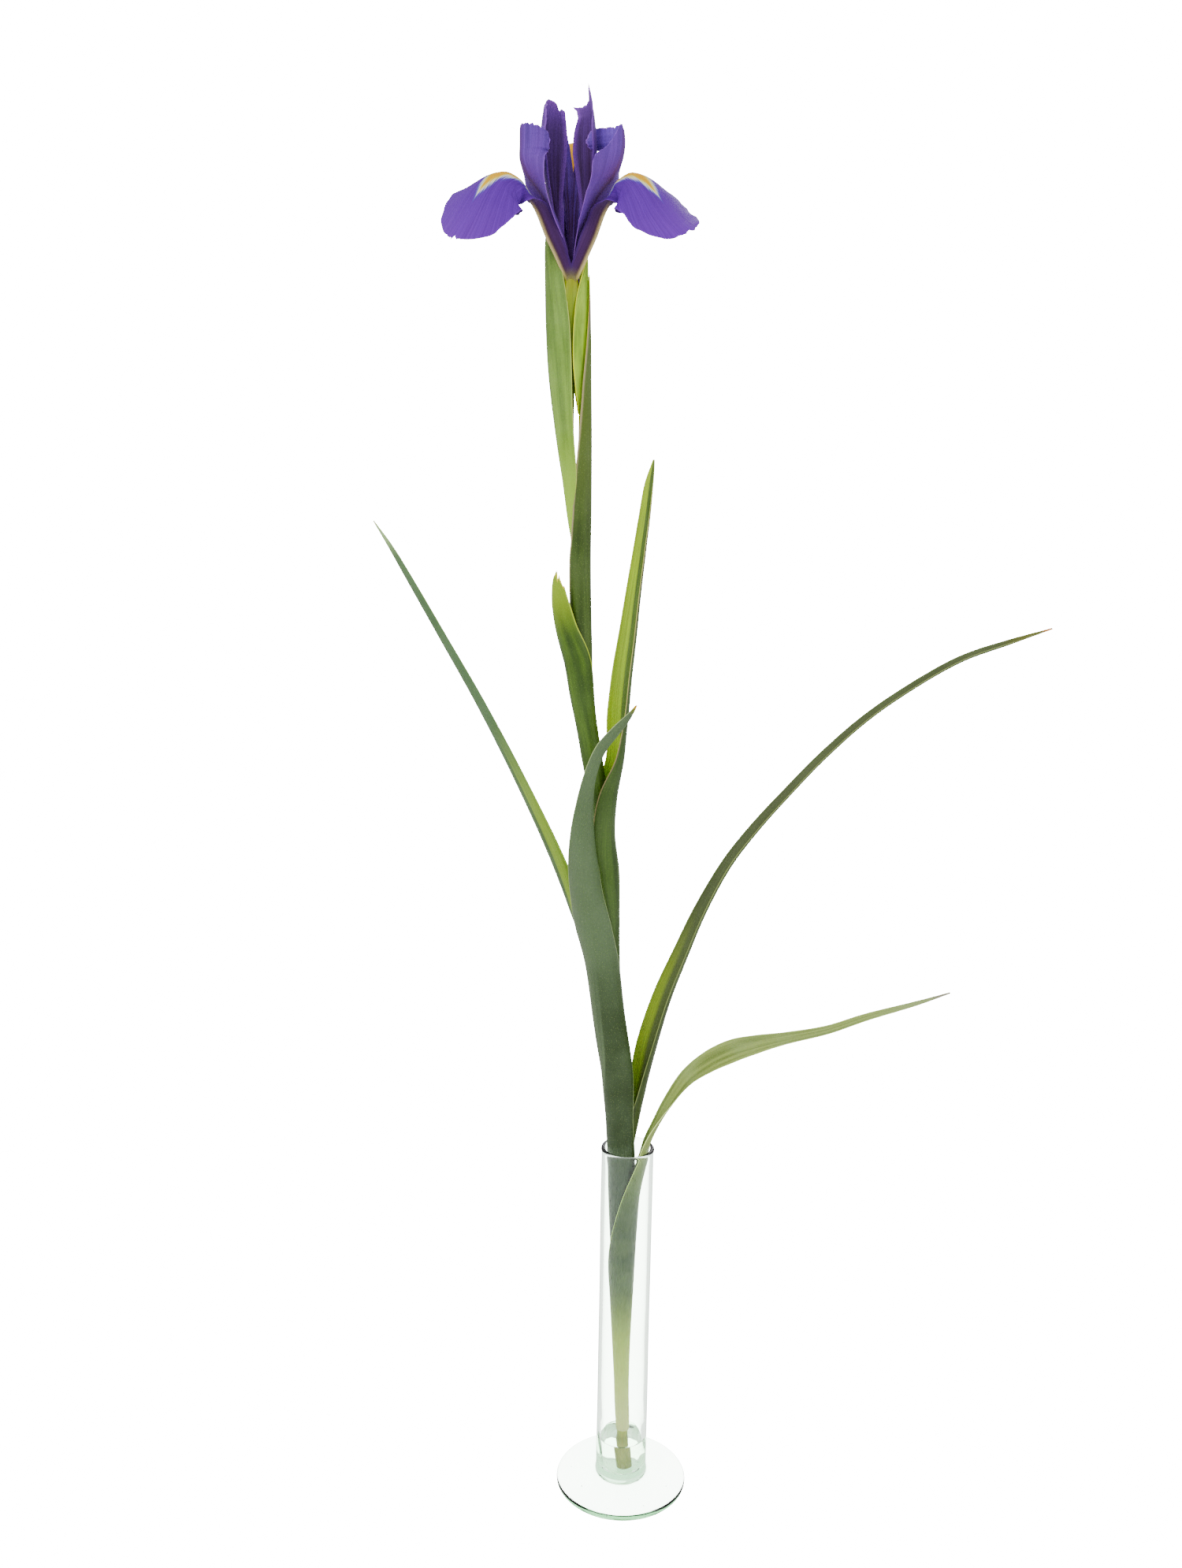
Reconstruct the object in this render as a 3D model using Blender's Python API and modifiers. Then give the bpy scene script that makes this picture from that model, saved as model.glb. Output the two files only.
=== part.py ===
"""Dutch iris in a hand-blown glass bud vase, as separate named solids.

The origin is the centre of the foot's underside, +Z is up, and the bloom's two front falls point to
-X and +X. Design dimensions are in millimetres and are scaled to metres where meshes are made.
"""
import math

import bmesh
import bpy
import numpy as np

MM = 0.001

# Vase
VASE_HEIGHT = 160.0
FOOT_RADIUS = 28.6
FOOT_EDGE = 3.0
FOOT_HUB = 6.6
TUBE_RADIUS = 11.05
TUBE_WALL = 1.6
BEAD_RADIUS = 0.95
FLOOR_HEIGHT = 8.0
WATER_LEVEL = 22.0
VASE_SIDES = 30

# Clearances and thicknesses of the plant
GAP = 0.3
STEM_RADIUS = 2.4
LEAF_THICKNESS = 0.5
PETAL_THICKNESS = 0.5
STEM_SIDES = 4  # bevel resolution, which gives twelve sides

# Centre line of the stem as (height, sideways), leaning to -X as it rises
STEM_LINE = [
    (8.4, 0.8), (60, -1.0), (120, -2.0), (160, -2.6), (180, -3.7), (200, -5.3), (220, -7.2), (245, -8.9),
    (284, -10.6), (300, -12.6), (320, -16.2), (336, -19.2), (352, -21.6), (372, -22.7), (399, -23.5),
    (414, -23.8),
]

# Top of the flower's tube, where falls, standards and style arms begin
BLOOM_X = -28.2
BLOOM_Z = 512.0


def clear_scene():
    for obj in list(bpy.data.objects):
        bpy.data.objects.remove(obj, do_unlink=True)


def new_collection(name):
    group = bpy.data.collections.new(name)
    bpy.context.scene.collection.children.link(group)
    return group


def make_material(name, colour, roughness, transmission=0.0):
    mat = bpy.data.materials.new(name)
    mat.use_nodes = True
    shader = mat.node_tree.nodes["Principled BSDF"]
    shader.inputs["Base Color"].default_value = (*colour, 1.0)
    shader.inputs["Roughness"].default_value = roughness
    shader.inputs["Metallic"].default_value = 0.0
    shader.inputs["Transmission Weight"].default_value = transmission
    mat.diffuse_color = (*colour, 1.0)
    return mat


def add_object(name, data, mat, group):
    obj = bpy.data.objects.new(name, data)
    data.materials.append(mat)
    group.objects.link(obj)
    return obj


def direction(azimuth, elevation=0.0):
    """Unit vector for an azimuth from +X and an elevation, both in degrees."""
    a = math.radians(azimuth)
    e = math.radians(elevation)
    return np.array([math.cos(a) * math.cos(e), math.sin(a) * math.cos(e), math.sin(e)])


def along(rows, s):
    """Catmull-Rom value of the rows at s, from 0 at the first row to 1 at the last."""
    place = min(max(s, 0.0), 1.0) * (len(rows) - 1)
    i = min(int(place), len(rows) - 2)
    u = place - i
    p1, p2 = rows[i], rows[i + 1]
    p0 = rows[i - 1] if i > 0 else 2 * p1 - p2
    p3 = rows[i + 2] if i + 2 < len(rows) else 2 * p2 - p1
    return 0.5 * (2 * p1 + (p2 - p0) * u + (2 * p0 - 5 * p1 + 4 * p2 - p3) * u ** 2
                  + (3 * p1 - p0 - 3 * p2 + p3) * u ** 3)


def stem_axis(z):
    heights = [p[0] for p in STEM_LINE]
    return np.array([np.interp(z, heights, [p[1] for p in STEM_LINE]), 0.0, z])


# A station of a leaf or petal is its keel point, flat width, half angle of its curl (positive where the
# margins turn away from the keel's outward normal), how sharply it is folded (1 is an even arc, more
# gathers the bend at the keel) and a hint for that normal.

def leaf_row(x, y, z, width, curl, azimuth, elevation=0.0, fold=1.0):
    return np.array([x, y, z, width, math.radians(curl), fold, *direction(azimuth, elevation)])


def sheath_row(z, radius, azimuth, half_angle, dx=0.0, dy=0.0):
    """A station where the leaf wraps the stem at a radius, open by what the half angle leaves."""
    outward = direction(azimuth)
    keel = stem_axis(z) + np.array([dx, dy, 0.0]) + radius * outward
    angle = math.radians(half_angle)
    return np.array([*keel, 2 * angle * radius, angle, 1.0, *outward])


def petal_rows(azimuth, stations, fold=1.0):
    """Stations (radius, height, width, curl, roll) in the upright plane of an azimuth of the bloom."""
    radial = direction(azimuth)
    side = direction(azimuth + 90)
    radii = np.array([p[0] for p in stations], float)
    heights = np.array([p[1] for p in stations], float)
    rise, reach = np.gradient(heights), np.gradient(radii)
    rows = []
    for k, (radius, height, width, curl, roll) in enumerate(stations):
        centre = np.array([BLOOM_X, 0.0, BLOOM_Z + height]) + radius * radial
        length = math.hypot(rise[k], reach[k])
        outward = (rise[k] * radial - reach[k] * np.array([0.0, 0.0, 1.0])) / length
        turn = math.radians(roll)
        turned = math.cos(turn) * outward + math.sin(turn) * side
        rows.append(np.array([*centre, width, math.radians(curl), fold, *turned]))
    return rows


ARC_STEPS = 12


def section_point(rows, s, t):
    """Point of the curled sheet at s along the keel and t across, from -1 to 1."""
    row = along(rows, s)
    step = 0.004
    tangent = along(rows, min(s + step, 1.0))[:3] - along(rows, max(s - step, 0.0))[:3]
    tangent /= np.linalg.norm(tangent)
    normal = row[6:9] - np.dot(row[6:9], tangent) * tangent
    normal /= np.linalg.norm(normal)
    across = np.cross(tangent, normal)
    span = abs(t) / ARC_STEPS
    side = math.copysign(1.0, t)
    point = row[:3].copy()
    for k in range(ARC_STEPS):
        angle = row[4] * (1 - (1 - (k + 0.5) * span) ** row[5])
        point += row[3] / 2 * span * (side * across * math.cos(angle) - normal * math.sin(angle))
    return point


def make_sheet(name, rows, steps, columns, thickness, mat, group, reach=None):
    """A curled sheet through the stations, with a thickness; reach(t) shortens it across its width."""
    grid = bmesh.new()
    bmesh.ops.create_grid(grid, x_segments=steps, y_segments=columns, size=1.0)
    for vert in grid.verts:
        t = vert.co.y
        s = (vert.co.x + 1) / 2 * (reach(abs(t)) if reach else 1.0)
        vert.co = section_point(rows, s, t) * MM
    mesh = bpy.data.meshes.new(name)
    grid.to_mesh(mesh)
    grid.free()
    mesh.shade_smooth()
    obj = add_object(name, mesh, mat, group)
    solid = obj.modifiers.new("thickness", "SOLIDIFY")
    solid.thickness = thickness * MM
    solid.offset = 0.0
    return obj


def make_tube(name, points, radii, mat, group, resolution=STEM_SIDES):
    """A round rod along points, with a radius at each, and closed ends."""
    curve = bpy.data.curves.new(name, "CURVE")
    curve.dimensions = "3D"
    curve.bevel_depth = MM
    curve.bevel_resolution = resolution
    curve.use_fill_caps = True
    spline = curve.splines.new("POLY")
    spline.points.add(len(points) - 1)
    for point, place, radius in zip(spline.points, points, radii):
        point.co = (*(np.asarray(place) * MM), 1.0)
        point.radius = radius
    return add_object(name, curve, mat, group)


def make_turned(name, profile, mat, group, sides=VASE_SIDES):
    """A solid of revolution about +Z from a closed outline of (radius, height)."""
    mesh = bpy.data.meshes.new(name)
    verts = [(r * MM, 0.0, z * MM) for r, z in profile]
    edges = [(i, i + 1) for i in range(len(verts) - 1)]
    mesh.from_pydata(verts, edges, [])
    obj = add_object(name, mesh, mat, group)
    screw = obj.modifiers.new("turn", "SCREW")
    screw.axis = "Z"
    screw.steps = sides
    screw.render_steps = sides
    screw.use_merge_vertices = True
    screw.merge_threshold = 0.00001
    screw.use_smooth_shade = True
    return obj


def arc(cx, cz, radius, start, end, count):
    """Points on an arc from start to end degrees, both included."""
    angles = np.radians(np.linspace(start, end, count))
    return [(cx + radius * math.cos(a), cz + radius * math.sin(a)) for a in angles]


def make_vase(group):
    """Tube with a fire-polished lip, fused on a disc foot; one wall of glass, open at the top."""
    glass = make_material("vase_glass", (0.80, 0.92, 0.84), 0.03, transmission=1.0)
    bore = TUBE_RADIUS - TUBE_WALL
    lip_z = VASE_HEIGHT - BEAD_RADIUS
    lip_r = bore + BEAD_RADIUS
    half_edge = FOOT_EDGE / 2
    fillet = 2.2
    outline = [(0.0, FLOOR_HEIGHT)]
    outline += arc(bore - 3.0, FLOOR_HEIGHT + 3.0, 3.0, -90, 0, 4)
    outline += arc(lip_r, lip_z, BEAD_RADIUS, 180, 0, 7)
    outline += [(TUBE_RADIUS, lip_z - 1.2)]
    outline += arc(TUBE_RADIUS + fillet, FOOT_HUB + fillet - 1.2, fillet, 180, 262, 4)
    outline += [(20.0, 3.9)]
    outline += arc(FOOT_RADIUS - half_edge, half_edge, half_edge, 80, -90, 5)
    outline += [(0.0, 0.0)]
    vase = make_turned("vase", outline, glass, group)
    return vase


def make_water(group):
    """The last of the water in the vase, a disc with a hole where the stem stands in it."""
    water = make_material("water", (0.90, 0.96, 0.93), 0.0, transmission=1.0)
    outer = TUBE_RADIUS - TUBE_WALL - GAP
    inner = STEM_RADIUS + 1.6
    low = FLOOR_HEIGHT + GAP
    outline = [(inner, low), (inner, WATER_LEVEL), (outer, WATER_LEVEL)]
    outline += arc(outer - 2.8, low + 2.8, 2.8, 0, -90, 3)
    outline.append((inner, low))
    return make_turned("water", outline, water, group, sides=24)


def make_stem(group):
    green = make_material("stem_green", (0.20, 0.32, 0.08), 0.45)
    heights = [8.4, 40, 100, 150, 180, 200, 220, 245, 284, 300, 320, 336, 352, 364, 384, 414]
    radii = [STEM_RADIUS - 0.1] * 2 + [STEM_RADIUS] * (len(heights) - 2)
    return make_tube("stem", [stem_axis(z) for z in heights], radii, green, group)


def make_ovary(group):
    """Pedicel, ovary and the short tube under the petals, grown as one."""
    green = make_material("ovary_green", (0.50, 0.58, 0.10), 0.5)
    places = [(-24.3, 414.4), (-25.6, 426), (-27.4, 445), (-28.2, 462), (-28.3, 480), (-28.2, 496),
              (-28.2, 505), (BLOOM_X, 509.5), (BLOOM_X, 511.7)]
    radii = [1.3, 1.3, 1.3, 1.7, 2.1, 1.9, 1.7, 2.3, 2.7]
    points = [(x, 0.0, z) for x, z in places]
    return make_tube("ovary", points, radii, green, group)


def make_bracts(group):
    """The two spathe valves round the ovary and the sheathing bract below them."""
    outer = make_material("bract_green", (0.28, 0.42, 0.13), 0.5)
    inner = make_material("bract_inner_green", (0.45, 0.55, 0.12), 0.5)
    valve = [
        sheath_row(405, 2.95, 180, 110), sheath_row(413, 3.0, 180, 94),
        leaf_row(-28.4, 0.2, 422, 9.2, 78, 180), leaf_row(-30.6, 0.0, 437, 15.5, 98, 184),
        leaf_row(-33.0, 0.0, 452, 17.5, 98, 192), leaf_row(-36.0, 0.5, 475, 20.0, 95, 197),
        leaf_row(-37.4, 1.5, 495, 19.0, 90, 195), leaf_row(-38.0, 3.5, 512, 15.0, 80, 190),
        leaf_row(-38.2, 5.5, 525, 9.5, 70, 185), leaf_row(-36.6, 6.5, 537, 2.0, 40, 180),
    ]
    make_sheet("spathe_outer", valve, 14, 8, LEAF_THICKNESS, outer, group)
    partner = [
        leaf_row(-24.6, 0.0, 446, 5.0, 60, 10), leaf_row(-24.3, 0.0, 458, 8.0, 80, 10),
        leaf_row(-23.6, 0.0, 472, 12.0, 95, 5), leaf_row(-22.5, 0.5, 486, 14.0, 105, 0),
        leaf_row(-22.0, 1.2, 500, 13.5, 100, 0), leaf_row(-22.0, 2.8, 512, 10.0, 80, 10),
        leaf_row(-22.5, 4.2, 522, 2.0, 40, 20),
    ]
    make_sheet("spathe_inner", partner, 10, 6, LEAF_THICKNESS, inner, group)
    sheath = [
        sheath_row(347, 3.1, 15, 165), sheath_row(353, 3.35, 15, 165), sheath_row(366, 4.1, 15, 168),
        sheath_row(392, 4.15, 12, 168), sheath_row(408, 4.2, 4, 158), sheath_row(417, 4.3, -4, 126),
        leaf_row(-19.5, -0.3, 427, 16.2, 106, -4), leaf_row(-19.6, 0.0, 439, 15.6, 106, 0),
        leaf_row(-19.6, 0.8, 454, 13.0, 100, 6), leaf_row(-19.8, 0.8, 470, 9.0, 85, 14),
        leaf_row(-20.3, 0.8, 485, 5.5, 60, 18), leaf_row(-21.1, 0.8, 503, 0.9, 30, 20),
    ]
    make_sheet("stem_bract", sheath, 17, 10, LEAF_THICKNESS, outer, group)


def make_leaves(group):
    """Six channelled leaves, each wrapped round the stem at its base."""
    green = make_material("leaf_green", (0.16, 0.26, 0.08), 0.5)
    pale = make_material("leaf_pale_green", (0.34, 0.42, 0.18), 0.55)

    broken = [
        sheath_row(288, 2.95, 200, 165), sheath_row(306, 3.3, 200, 165), sheath_row(324, 3.95, 200, 165),
        sheath_row(340, 4.1, 200, 163), sheath_row(354, 4.95, 200, 148, -0.25),
        sheath_row(366, 5.8, 203, 122, -0.9, -0.3), leaf_row(-31.8, -2.6, 379, 18.6, 84, 208),
        leaf_row(-33.3, -2.8, 389, 14.5, 72, 212), leaf_row(-33.3, -3.2, 396, 10.0, 60, 215),
        leaf_row(-32.4, -3.5, 403, 4.0, 40, 218),
    ]
    make_sheet("leaf_broken", broken, 16, 10, LEAF_THICKNESS, green, group)

    upright = [
        sheath_row(186, 2.95, 20, 160), sheath_row(215, 3.2, 20, 160), sheath_row(245, 3.8, 20, 160),
        sheath_row(264, 4.2, 14, 152), sheath_row(281, 4.8, 6, 132, 0.2, -0.3),
        leaf_row(-5.9, -0.9, 297, 18.2, 100, 0), leaf_row(-5.6, -0.6, 312, 17.8, 96, 5),
        leaf_row(-5.2, 1.0, 328, 16.8, 88, 20), leaf_row(-4.8, 2.6, 345, 16.0, 84, 40),
        leaf_row(-3.7, 3.0, 362, 14.5, 84, 44), leaf_row(-2.1, 3.0, 378, 12.5, 84, 46),
        leaf_row(-0.6, 3.0, 394, 10.5, 82, 46), leaf_row(1.0, 3.0, 409, 9.0, 80, 46),
        leaf_row(2.6, 3.0, 424, 7.5, 75, 46), leaf_row(3.6, 2.6, 436, 5.5, 65, 46),
        leaf_row(4.5, 2.0, 445.5, 0.9, 30, 46),
    ]
    make_sheet("leaf_upright", upright, 20, 10, LEAF_THICKNESS, green, group)

    front = [
        sheath_row(92, 2.95, 200, 165), sheath_row(103, 3.6, 199, 165), sheath_row(118, 4.6, 198, 165),
        sheath_row(136, 5.3, 197, 160), sheath_row(156, 5.9, 197, 140, 0.1),
        sheath_row(172, 6.4, 197, 124, 0.3), sheath_row(186, 6.8, 207, 122, 0.2),
        sheath_row(202, 6.8, 234, 112, -0.7, -0.3),
        sheath_row(220, 6.7, 244, 110, -1.9, -0.6), leaf_row(-14.4, -8.4, 241, 23.5, 88, 250, 0, 1.2),
        leaf_row(-17.0, -9.8, 258, 20.5, 64, 261, 0, 1.6), leaf_row(-19.2, -10.8, 272, 19.0, 62, 268, 0, 2.2),
        leaf_row(-20.1, -11.6, 285, 18.0, 62, 275, 0, 2.6),
        leaf_row(-20.0, -12.2, 298, 14.5, 60, 284, 0, 2.6),
        leaf_row(-18.8, -12.4, 310, 11.5, 60, 298, 0, 2.6), leaf_row(-16.6, -12.4, 323, 9.0, 60, 315, 0, 2.6),
        leaf_row(-13.0, -12.2, 333, 8.0, 60, 318, 0, 2.6), leaf_row(-8.0, -12.0, 340, 6.5, 60, 315, 0, 2.6),
        leaf_row(-3.8, -12.0, 345.5, 4.5, 60, 315, 0, 2.0),
        leaf_row(-0.5, -12.0, 351.5, 0.9, 30, 315, 0, 1.0),
    ]
    make_sheet("leaf_front", front, 26, 10, LEAF_THICKNESS, green, group)

    left = [
        sheath_row(147, 3.05, 180, 165), sheath_row(168, 3.05, 180, 165), sheath_row(186, 3.9, 178, 162),
        sheath_row(204, 4.2, 174, 150, -0.4, 0.1), leaf_row(-12.6, 0.9, 220, 22.0, 128, 170),
        leaf_row(-16.2, 2.4, 238, 19.0, 105, 168), leaf_row(-20.4, 3.4, 250, 17.0, 92, 176, -5),
        leaf_row(-24.9, 2.6, 261, 16.0, 84, 190, -10), leaf_row(-29.6, 1.0, 275, 14.5, 80, 204, -15),
        leaf_row(-35.4, 0.6, 290, 12.5, 76, 212, -20), leaf_row(-43.6, 2.0, 308, 10.5, 74, 216, -25),
        leaf_row(-54.6, 4.6, 330, 9.0, 72, 218, -28), leaf_row(-66.0, 7.8, 351, 8.0, 68, 218, -30),
        leaf_row(-78.6, 11.2, 372.5, 7.0, 65, 218, -30), leaf_row(-90.6, 14.4, 393, 6.0, 62, 218, -30),
        leaf_row(-100.0, 17.0, 409, 4.2, 60, 218, -30), leaf_row(-106.9, 19.0, 420.0, 0.9, 30, 218, -30),
    ]
    make_sheet("leaf_left", left, 20, 10, LEAF_THICKNESS, green, group)

    right = [
        sheath_row(121, 2.95, 10, 165), sheath_row(134, 3.1, 10, 165), sheath_row(146, 3.9, 10, 160),
        sheath_row(158, 4.4, 10, 126, 0.2, 0.2), leaf_row(4.0, 1.7, 170, 16.5, 103, 12, -4),
        leaf_row(5.9, 3.2, 181, 15.4, 94, 20, -8), leaf_row(9.8, 4.4, 202, 16.8, 84, 30, -14),
        leaf_row(15.6, 5.8, 224, 15.0, 80, 32, -20), leaf_row(22.6, 7.2, 243, 12.6, 78, 32, -26),
        leaf_row(30.2, 8.6, 262, 10.6, 75, 30, -32), leaf_row(40.0, 10.0, 281.0, 7.5, 75, 28, -38),
        leaf_row(50.9, 12.0, 296.0, 6.2, 72, 30, -42), leaf_row(63.8, 15.0, 310.5, 5.5, 70, 30, -42),
        leaf_row(78.6, 18.0, 326.0, 5.0, 70, 30, -46), leaf_row(95.8, 21.0, 341.5, 4.5, 68, 30, -50),
        leaf_row(115.2, 24.0, 355.0, 4.5, 66, 30, -55), leaf_row(134.8, 27.0, 366.0, 4.2, 64, 30, -60),
        leaf_row(154.0, 29.0, 373.0, 3.6, 60, 30, -65), leaf_row(172.5, 30.0, 379.8, 0.9, 30, 30, -65),
    ]
    make_sheet("leaf_long_right", right, 26, 10, LEAF_THICKNESS, green, group)

    low = [
        sheath_row(44, 2.95, 0, 165), sheath_row(70, 3.5, -4, 165), sheath_row(90, 3.8, -6, 165),
        sheath_row(104, 5.0, -8, 158), sheath_row(120, 6.15, -8, 128, 0.3),
        leaf_row(5.4, -0.8, 138, 21.0, 92, -8), leaf_row(8.0, -0.9, 153, 14.5, 72, -8),
        leaf_row(9.3, -1.0, 161.5, 11.0, 66, -5, -5), leaf_row(12.4, -1.6, 170, 9.5, 60, 0, -15),
        leaf_row(17.4, -3.0, 181, 9.0, 50, 20, -30), leaf_row(24.5, -5.0, 193, 9.5, 45, 50, -45),
        leaf_row(33.0, -8.0, 201.5, 11.0, 40, 75, -50), leaf_row(42.0, -11.0, 207.5, 11.5, 35, 85, -50),
        leaf_row(51.5, -14.0, 211.7, 10.0, 35, 90, -55), leaf_row(63.5, -18.0, 216.5, 7.0, 35, 95, -60),
        leaf_row(78.6, -22.0, 222.0, 5.0, 35, 95, -60), leaf_row(93.5, -25.0, 229.0, 4.0, 35, 95, -60),
        leaf_row(111.3, -28.0, 236.0, 2.5, 35, 95, -60), leaf_row(124.8, -30.0, 241.8, 0.7, 30, 95, -60),
    ]
    make_sheet("leaf_low_right", low, 24, 10, LEAF_THICKNESS, pale, group)


# Falls: (radius, height, width, curl, roll) from the flower's tube along the haft, over the arch of the
# yellow signal and down the blade
LEFT_FALL = [
    (2.6, 0.5, 2.2, 40, 0), (6.7, 6.9, 6.5, 75, 0), (10.6, 13.6, 10.0, 88, 0), (14.7, 22.0, 12.0, 66, 0),
    (18.4, 28.8, 20.0, -6, -6), (22.2, 33.0, 31.0, -66, -16), (27.0, 34.2, 34.0, -80, -20),
    (32.4, 32.0, 34.0, -58, -28), (37.0, 27.0, 33.0, -34, -32), (41.0, 20.8, 31.0, -24, -32),
    (44.8, 14.6, 24.0, -18, -30), (48.6, 9.2, 5.0, -12, -30),
]
RIGHT_FALL = [
    (2.6, 0.5, 2.2, 40, 0), (6.6, 6.9, 6.5, 75, 0), (10.2, 13.8, 10.0, 88, 0), (13.4, 21.6, 12.0, 66, 0),
    (16.4, 28.8, 19.0, -6, 6), (19.4, 33.2, 29.0, -64, 16), (24.0, 34.8, 32.0, -78, 20),
    (29.0, 32.6, 32.0, -56, 26), (34.0, 27.6, 31.0, -36, 28), (38.6, 22.0, 31.0, -26, 28),
    (43.4, 17.0, 26.0, -18, 26), (48.2, 13.2, 12.0, -12, 26),
]
BACK_FALL = [
    (2.6, 0.5, 2.2, 40, 0), (5.4, 8.2, 6.5, 75, 0), (8.9, 17.0, 9.5, 85, 0), (13.4, 28.0, 12.0, 74, 0),
    (18.2, 39.6, 17.0, 0, 0), (22.2, 47.0, 27.0, -60, 0), (26.6, 50.0, 31.0, -74, 0),
    (32.0, 47.6, 31.0, -70, 0), (36.6, 41.8, 30.0, -58, 0), (40.2, 34.4, 27.0, -46, 0),
    (43.0, 26.4, 18.0, -34, 0), (45.0, 19.6, 3.0, -20, 0),
]

# Style arms: a ridged roof over each haft that ends in two upright crest lobes
LEFT_STYLE = [
    (0.9, 0.7, 1.0, -20, 0), (1.2, 6.5, 3.2, -60, 0), (3.2, 13.2, 6.0, -66, 0), (7.0, 20.8, 9.4, -60, 0),
    (11.4, 28.4, 14.0, -30, 0), (16.6, 34.4, 18.0, 20, 0), (20.8, 39.4, 20.0, 60, 0),
    (21.8, 45.0, 20.0, 66, 0), (21.8, 51.5, 19.0, 64, 0),
]
RIGHT_STYLE = [
    (0.9, 0.7, 1.0, -20, 0), (1.0, 6.5, 3.2, -60, 0), (2.4, 13.2, 5.0, -66, 0), (5.4, 20.8, 8.6, -60, 0),
    (9.0, 28.2, 13.4, -30, 0), (13.6, 34.4, 18.0, 20, 0), (18.2, 39.8, 20.0, 60, 0),
    (20.4, 45.4, 20.0, 66, 0), (20.8, 52.0, 18.0, 64, 0),
]
BACK_STYLE = [
    (0.9, 0.7, 1.0, -20, 0), (1.2, 7.5, 3.2, -60, 0), (2.8, 15.6, 5.0, -66, 0), (5.2, 24.4, 7.6, -60, 0),
    (8.4, 33.0, 12.4, -30, 0), (12.8, 40.4, 15.0, 20, 0), (15.8, 46.4, 16.0, 60, 0),
    (16.8, 50.4, 15.0, 66, 0), (17.0, 54.0, 14.0, 64, 0),
]

# Standards: upright, channelled towards the middle of the flower
LEFT_STANDARD = [
    (2.6, 0.5, 2.0, 30, 0), (5.0, 12.0, 3.6, 45, 0), (8.0, 24.0, 8.0, 60, 0), (10.6, 35.0, 15.0, 65, 0),
    (12.0, 45.0, 20.0, 66, 0), (12.0, 54.0, 20.0, 66, 0), (10.6, 60.0, 13.0, 60, 0), (9.4, 63.0, 5.0, 40, 0),
]
RIGHT_STANDARD = [
    (2.6, 0.5, 2.0, 30, 0), (5.4, 12.0, 3.6, 45, 0), (7.2, 24.0, 8.0, 60, 0), (8.6, 35.0, 14.0, 65, 0),
    (9.6, 45.0, 18.0, 66, 0), (9.2, 53.0, 18.0, 66, 0), (8.0, 59.0, 8.0, 50, 0), (6.8, 64.0, 3.6, 40, 0),
    (5.8, 68.5, 0.8, 20, 0),
]

# Where the cleft between the two crest lobes begins, as a share of a style arm's length
STYLE_NOTCH = 0.74
BACK_NOTCH = 0.58


def crest_reach(t, notch):
    """How far along a style arm goes at t across: full on the lobes, short at the cleft between them."""
    rise = min(t / 0.34, 1.0)
    shoulder = max(t - 0.8, 0.0) / 0.2
    return notch + (1 - notch) * math.sin(rise * math.pi / 2) * (1 - 0.25 * shoulder ** 2)


def make_bloom(group):
    fall = make_material("fall_violet", (0.20, 0.12, 0.55), 0.55)
    style = make_material("style_violet", (0.25, 0.18, 0.60), 0.55)
    standard = make_material("standard_violet", (0.16, 0.09, 0.42), 0.55)
    stamen = make_material("stamen_cream", (0.60, 0.50, 0.62), 0.6)
    units = {
        "left": (207, LEFT_FALL, LEFT_STYLE, STYLE_NOTCH),
        "right": (333, RIGHT_FALL, RIGHT_STYLE, STYLE_NOTCH),
        "back": (90, BACK_FALL, BACK_STYLE, BACK_NOTCH),
    }
    for side, (azimuth, fall_stations, style_stations, notch) in units.items():
        make_sheet("fall_" + side, petal_rows(azimuth, fall_stations, fold=2.0), 17, 6, PETAL_THICKNESS,
                   fall, group)
        make_sheet("style_arm_" + side, petal_rows(azimuth, style_stations), 11, 10, PETAL_THICKNESS,
                   style, group, reach=lambda t: crest_reach(t, notch))
        make_stamen("stamen_" + side, azimuth, fall_stations, stamen, group)
    for side, azimuth, stations in (("left", 150, LEFT_STANDARD), ("right", 30, RIGHT_STANDARD)):
        make_sheet("standard_" + side, petal_rows(azimuth, stations), 12, 6, PETAL_THICKNESS, standard, group)


def make_stamen(name, azimuth, fall_stations, mat, group):
    """Filament and anther, lying inside the trough of the haft."""
    rows = petal_rows(azimuth, fall_stations)
    last = 4.0 / (len(rows) - 1)
    points, radii = [], []
    for k in range(9):
        share = k / 8
        row = along(rows, 0.06 + (last - 0.06) * share)
        inset = 0.9 + 0.7 * min(share * 2, 1.0)
        points.append(row[:3] - row[6:9] * inset)
        radii.append(0.35 if share < 0.55 else (0.75 if share < 0.95 else 0.4))
    return make_tube(name, points, radii, mat, group, resolution=1)


def main():
    clear_scene()
    group = new_collection("iris_in_bud_vase")
    make_vase(group)
    make_water(group)
    make_stem(group)
    make_ovary(group)
    make_bracts(group)
    make_leaves(group)
    make_bloom(group)


main()
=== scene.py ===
import math
import bmesh
import bpy
import numpy as np
from mathutils import Matrix, Vector


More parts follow.
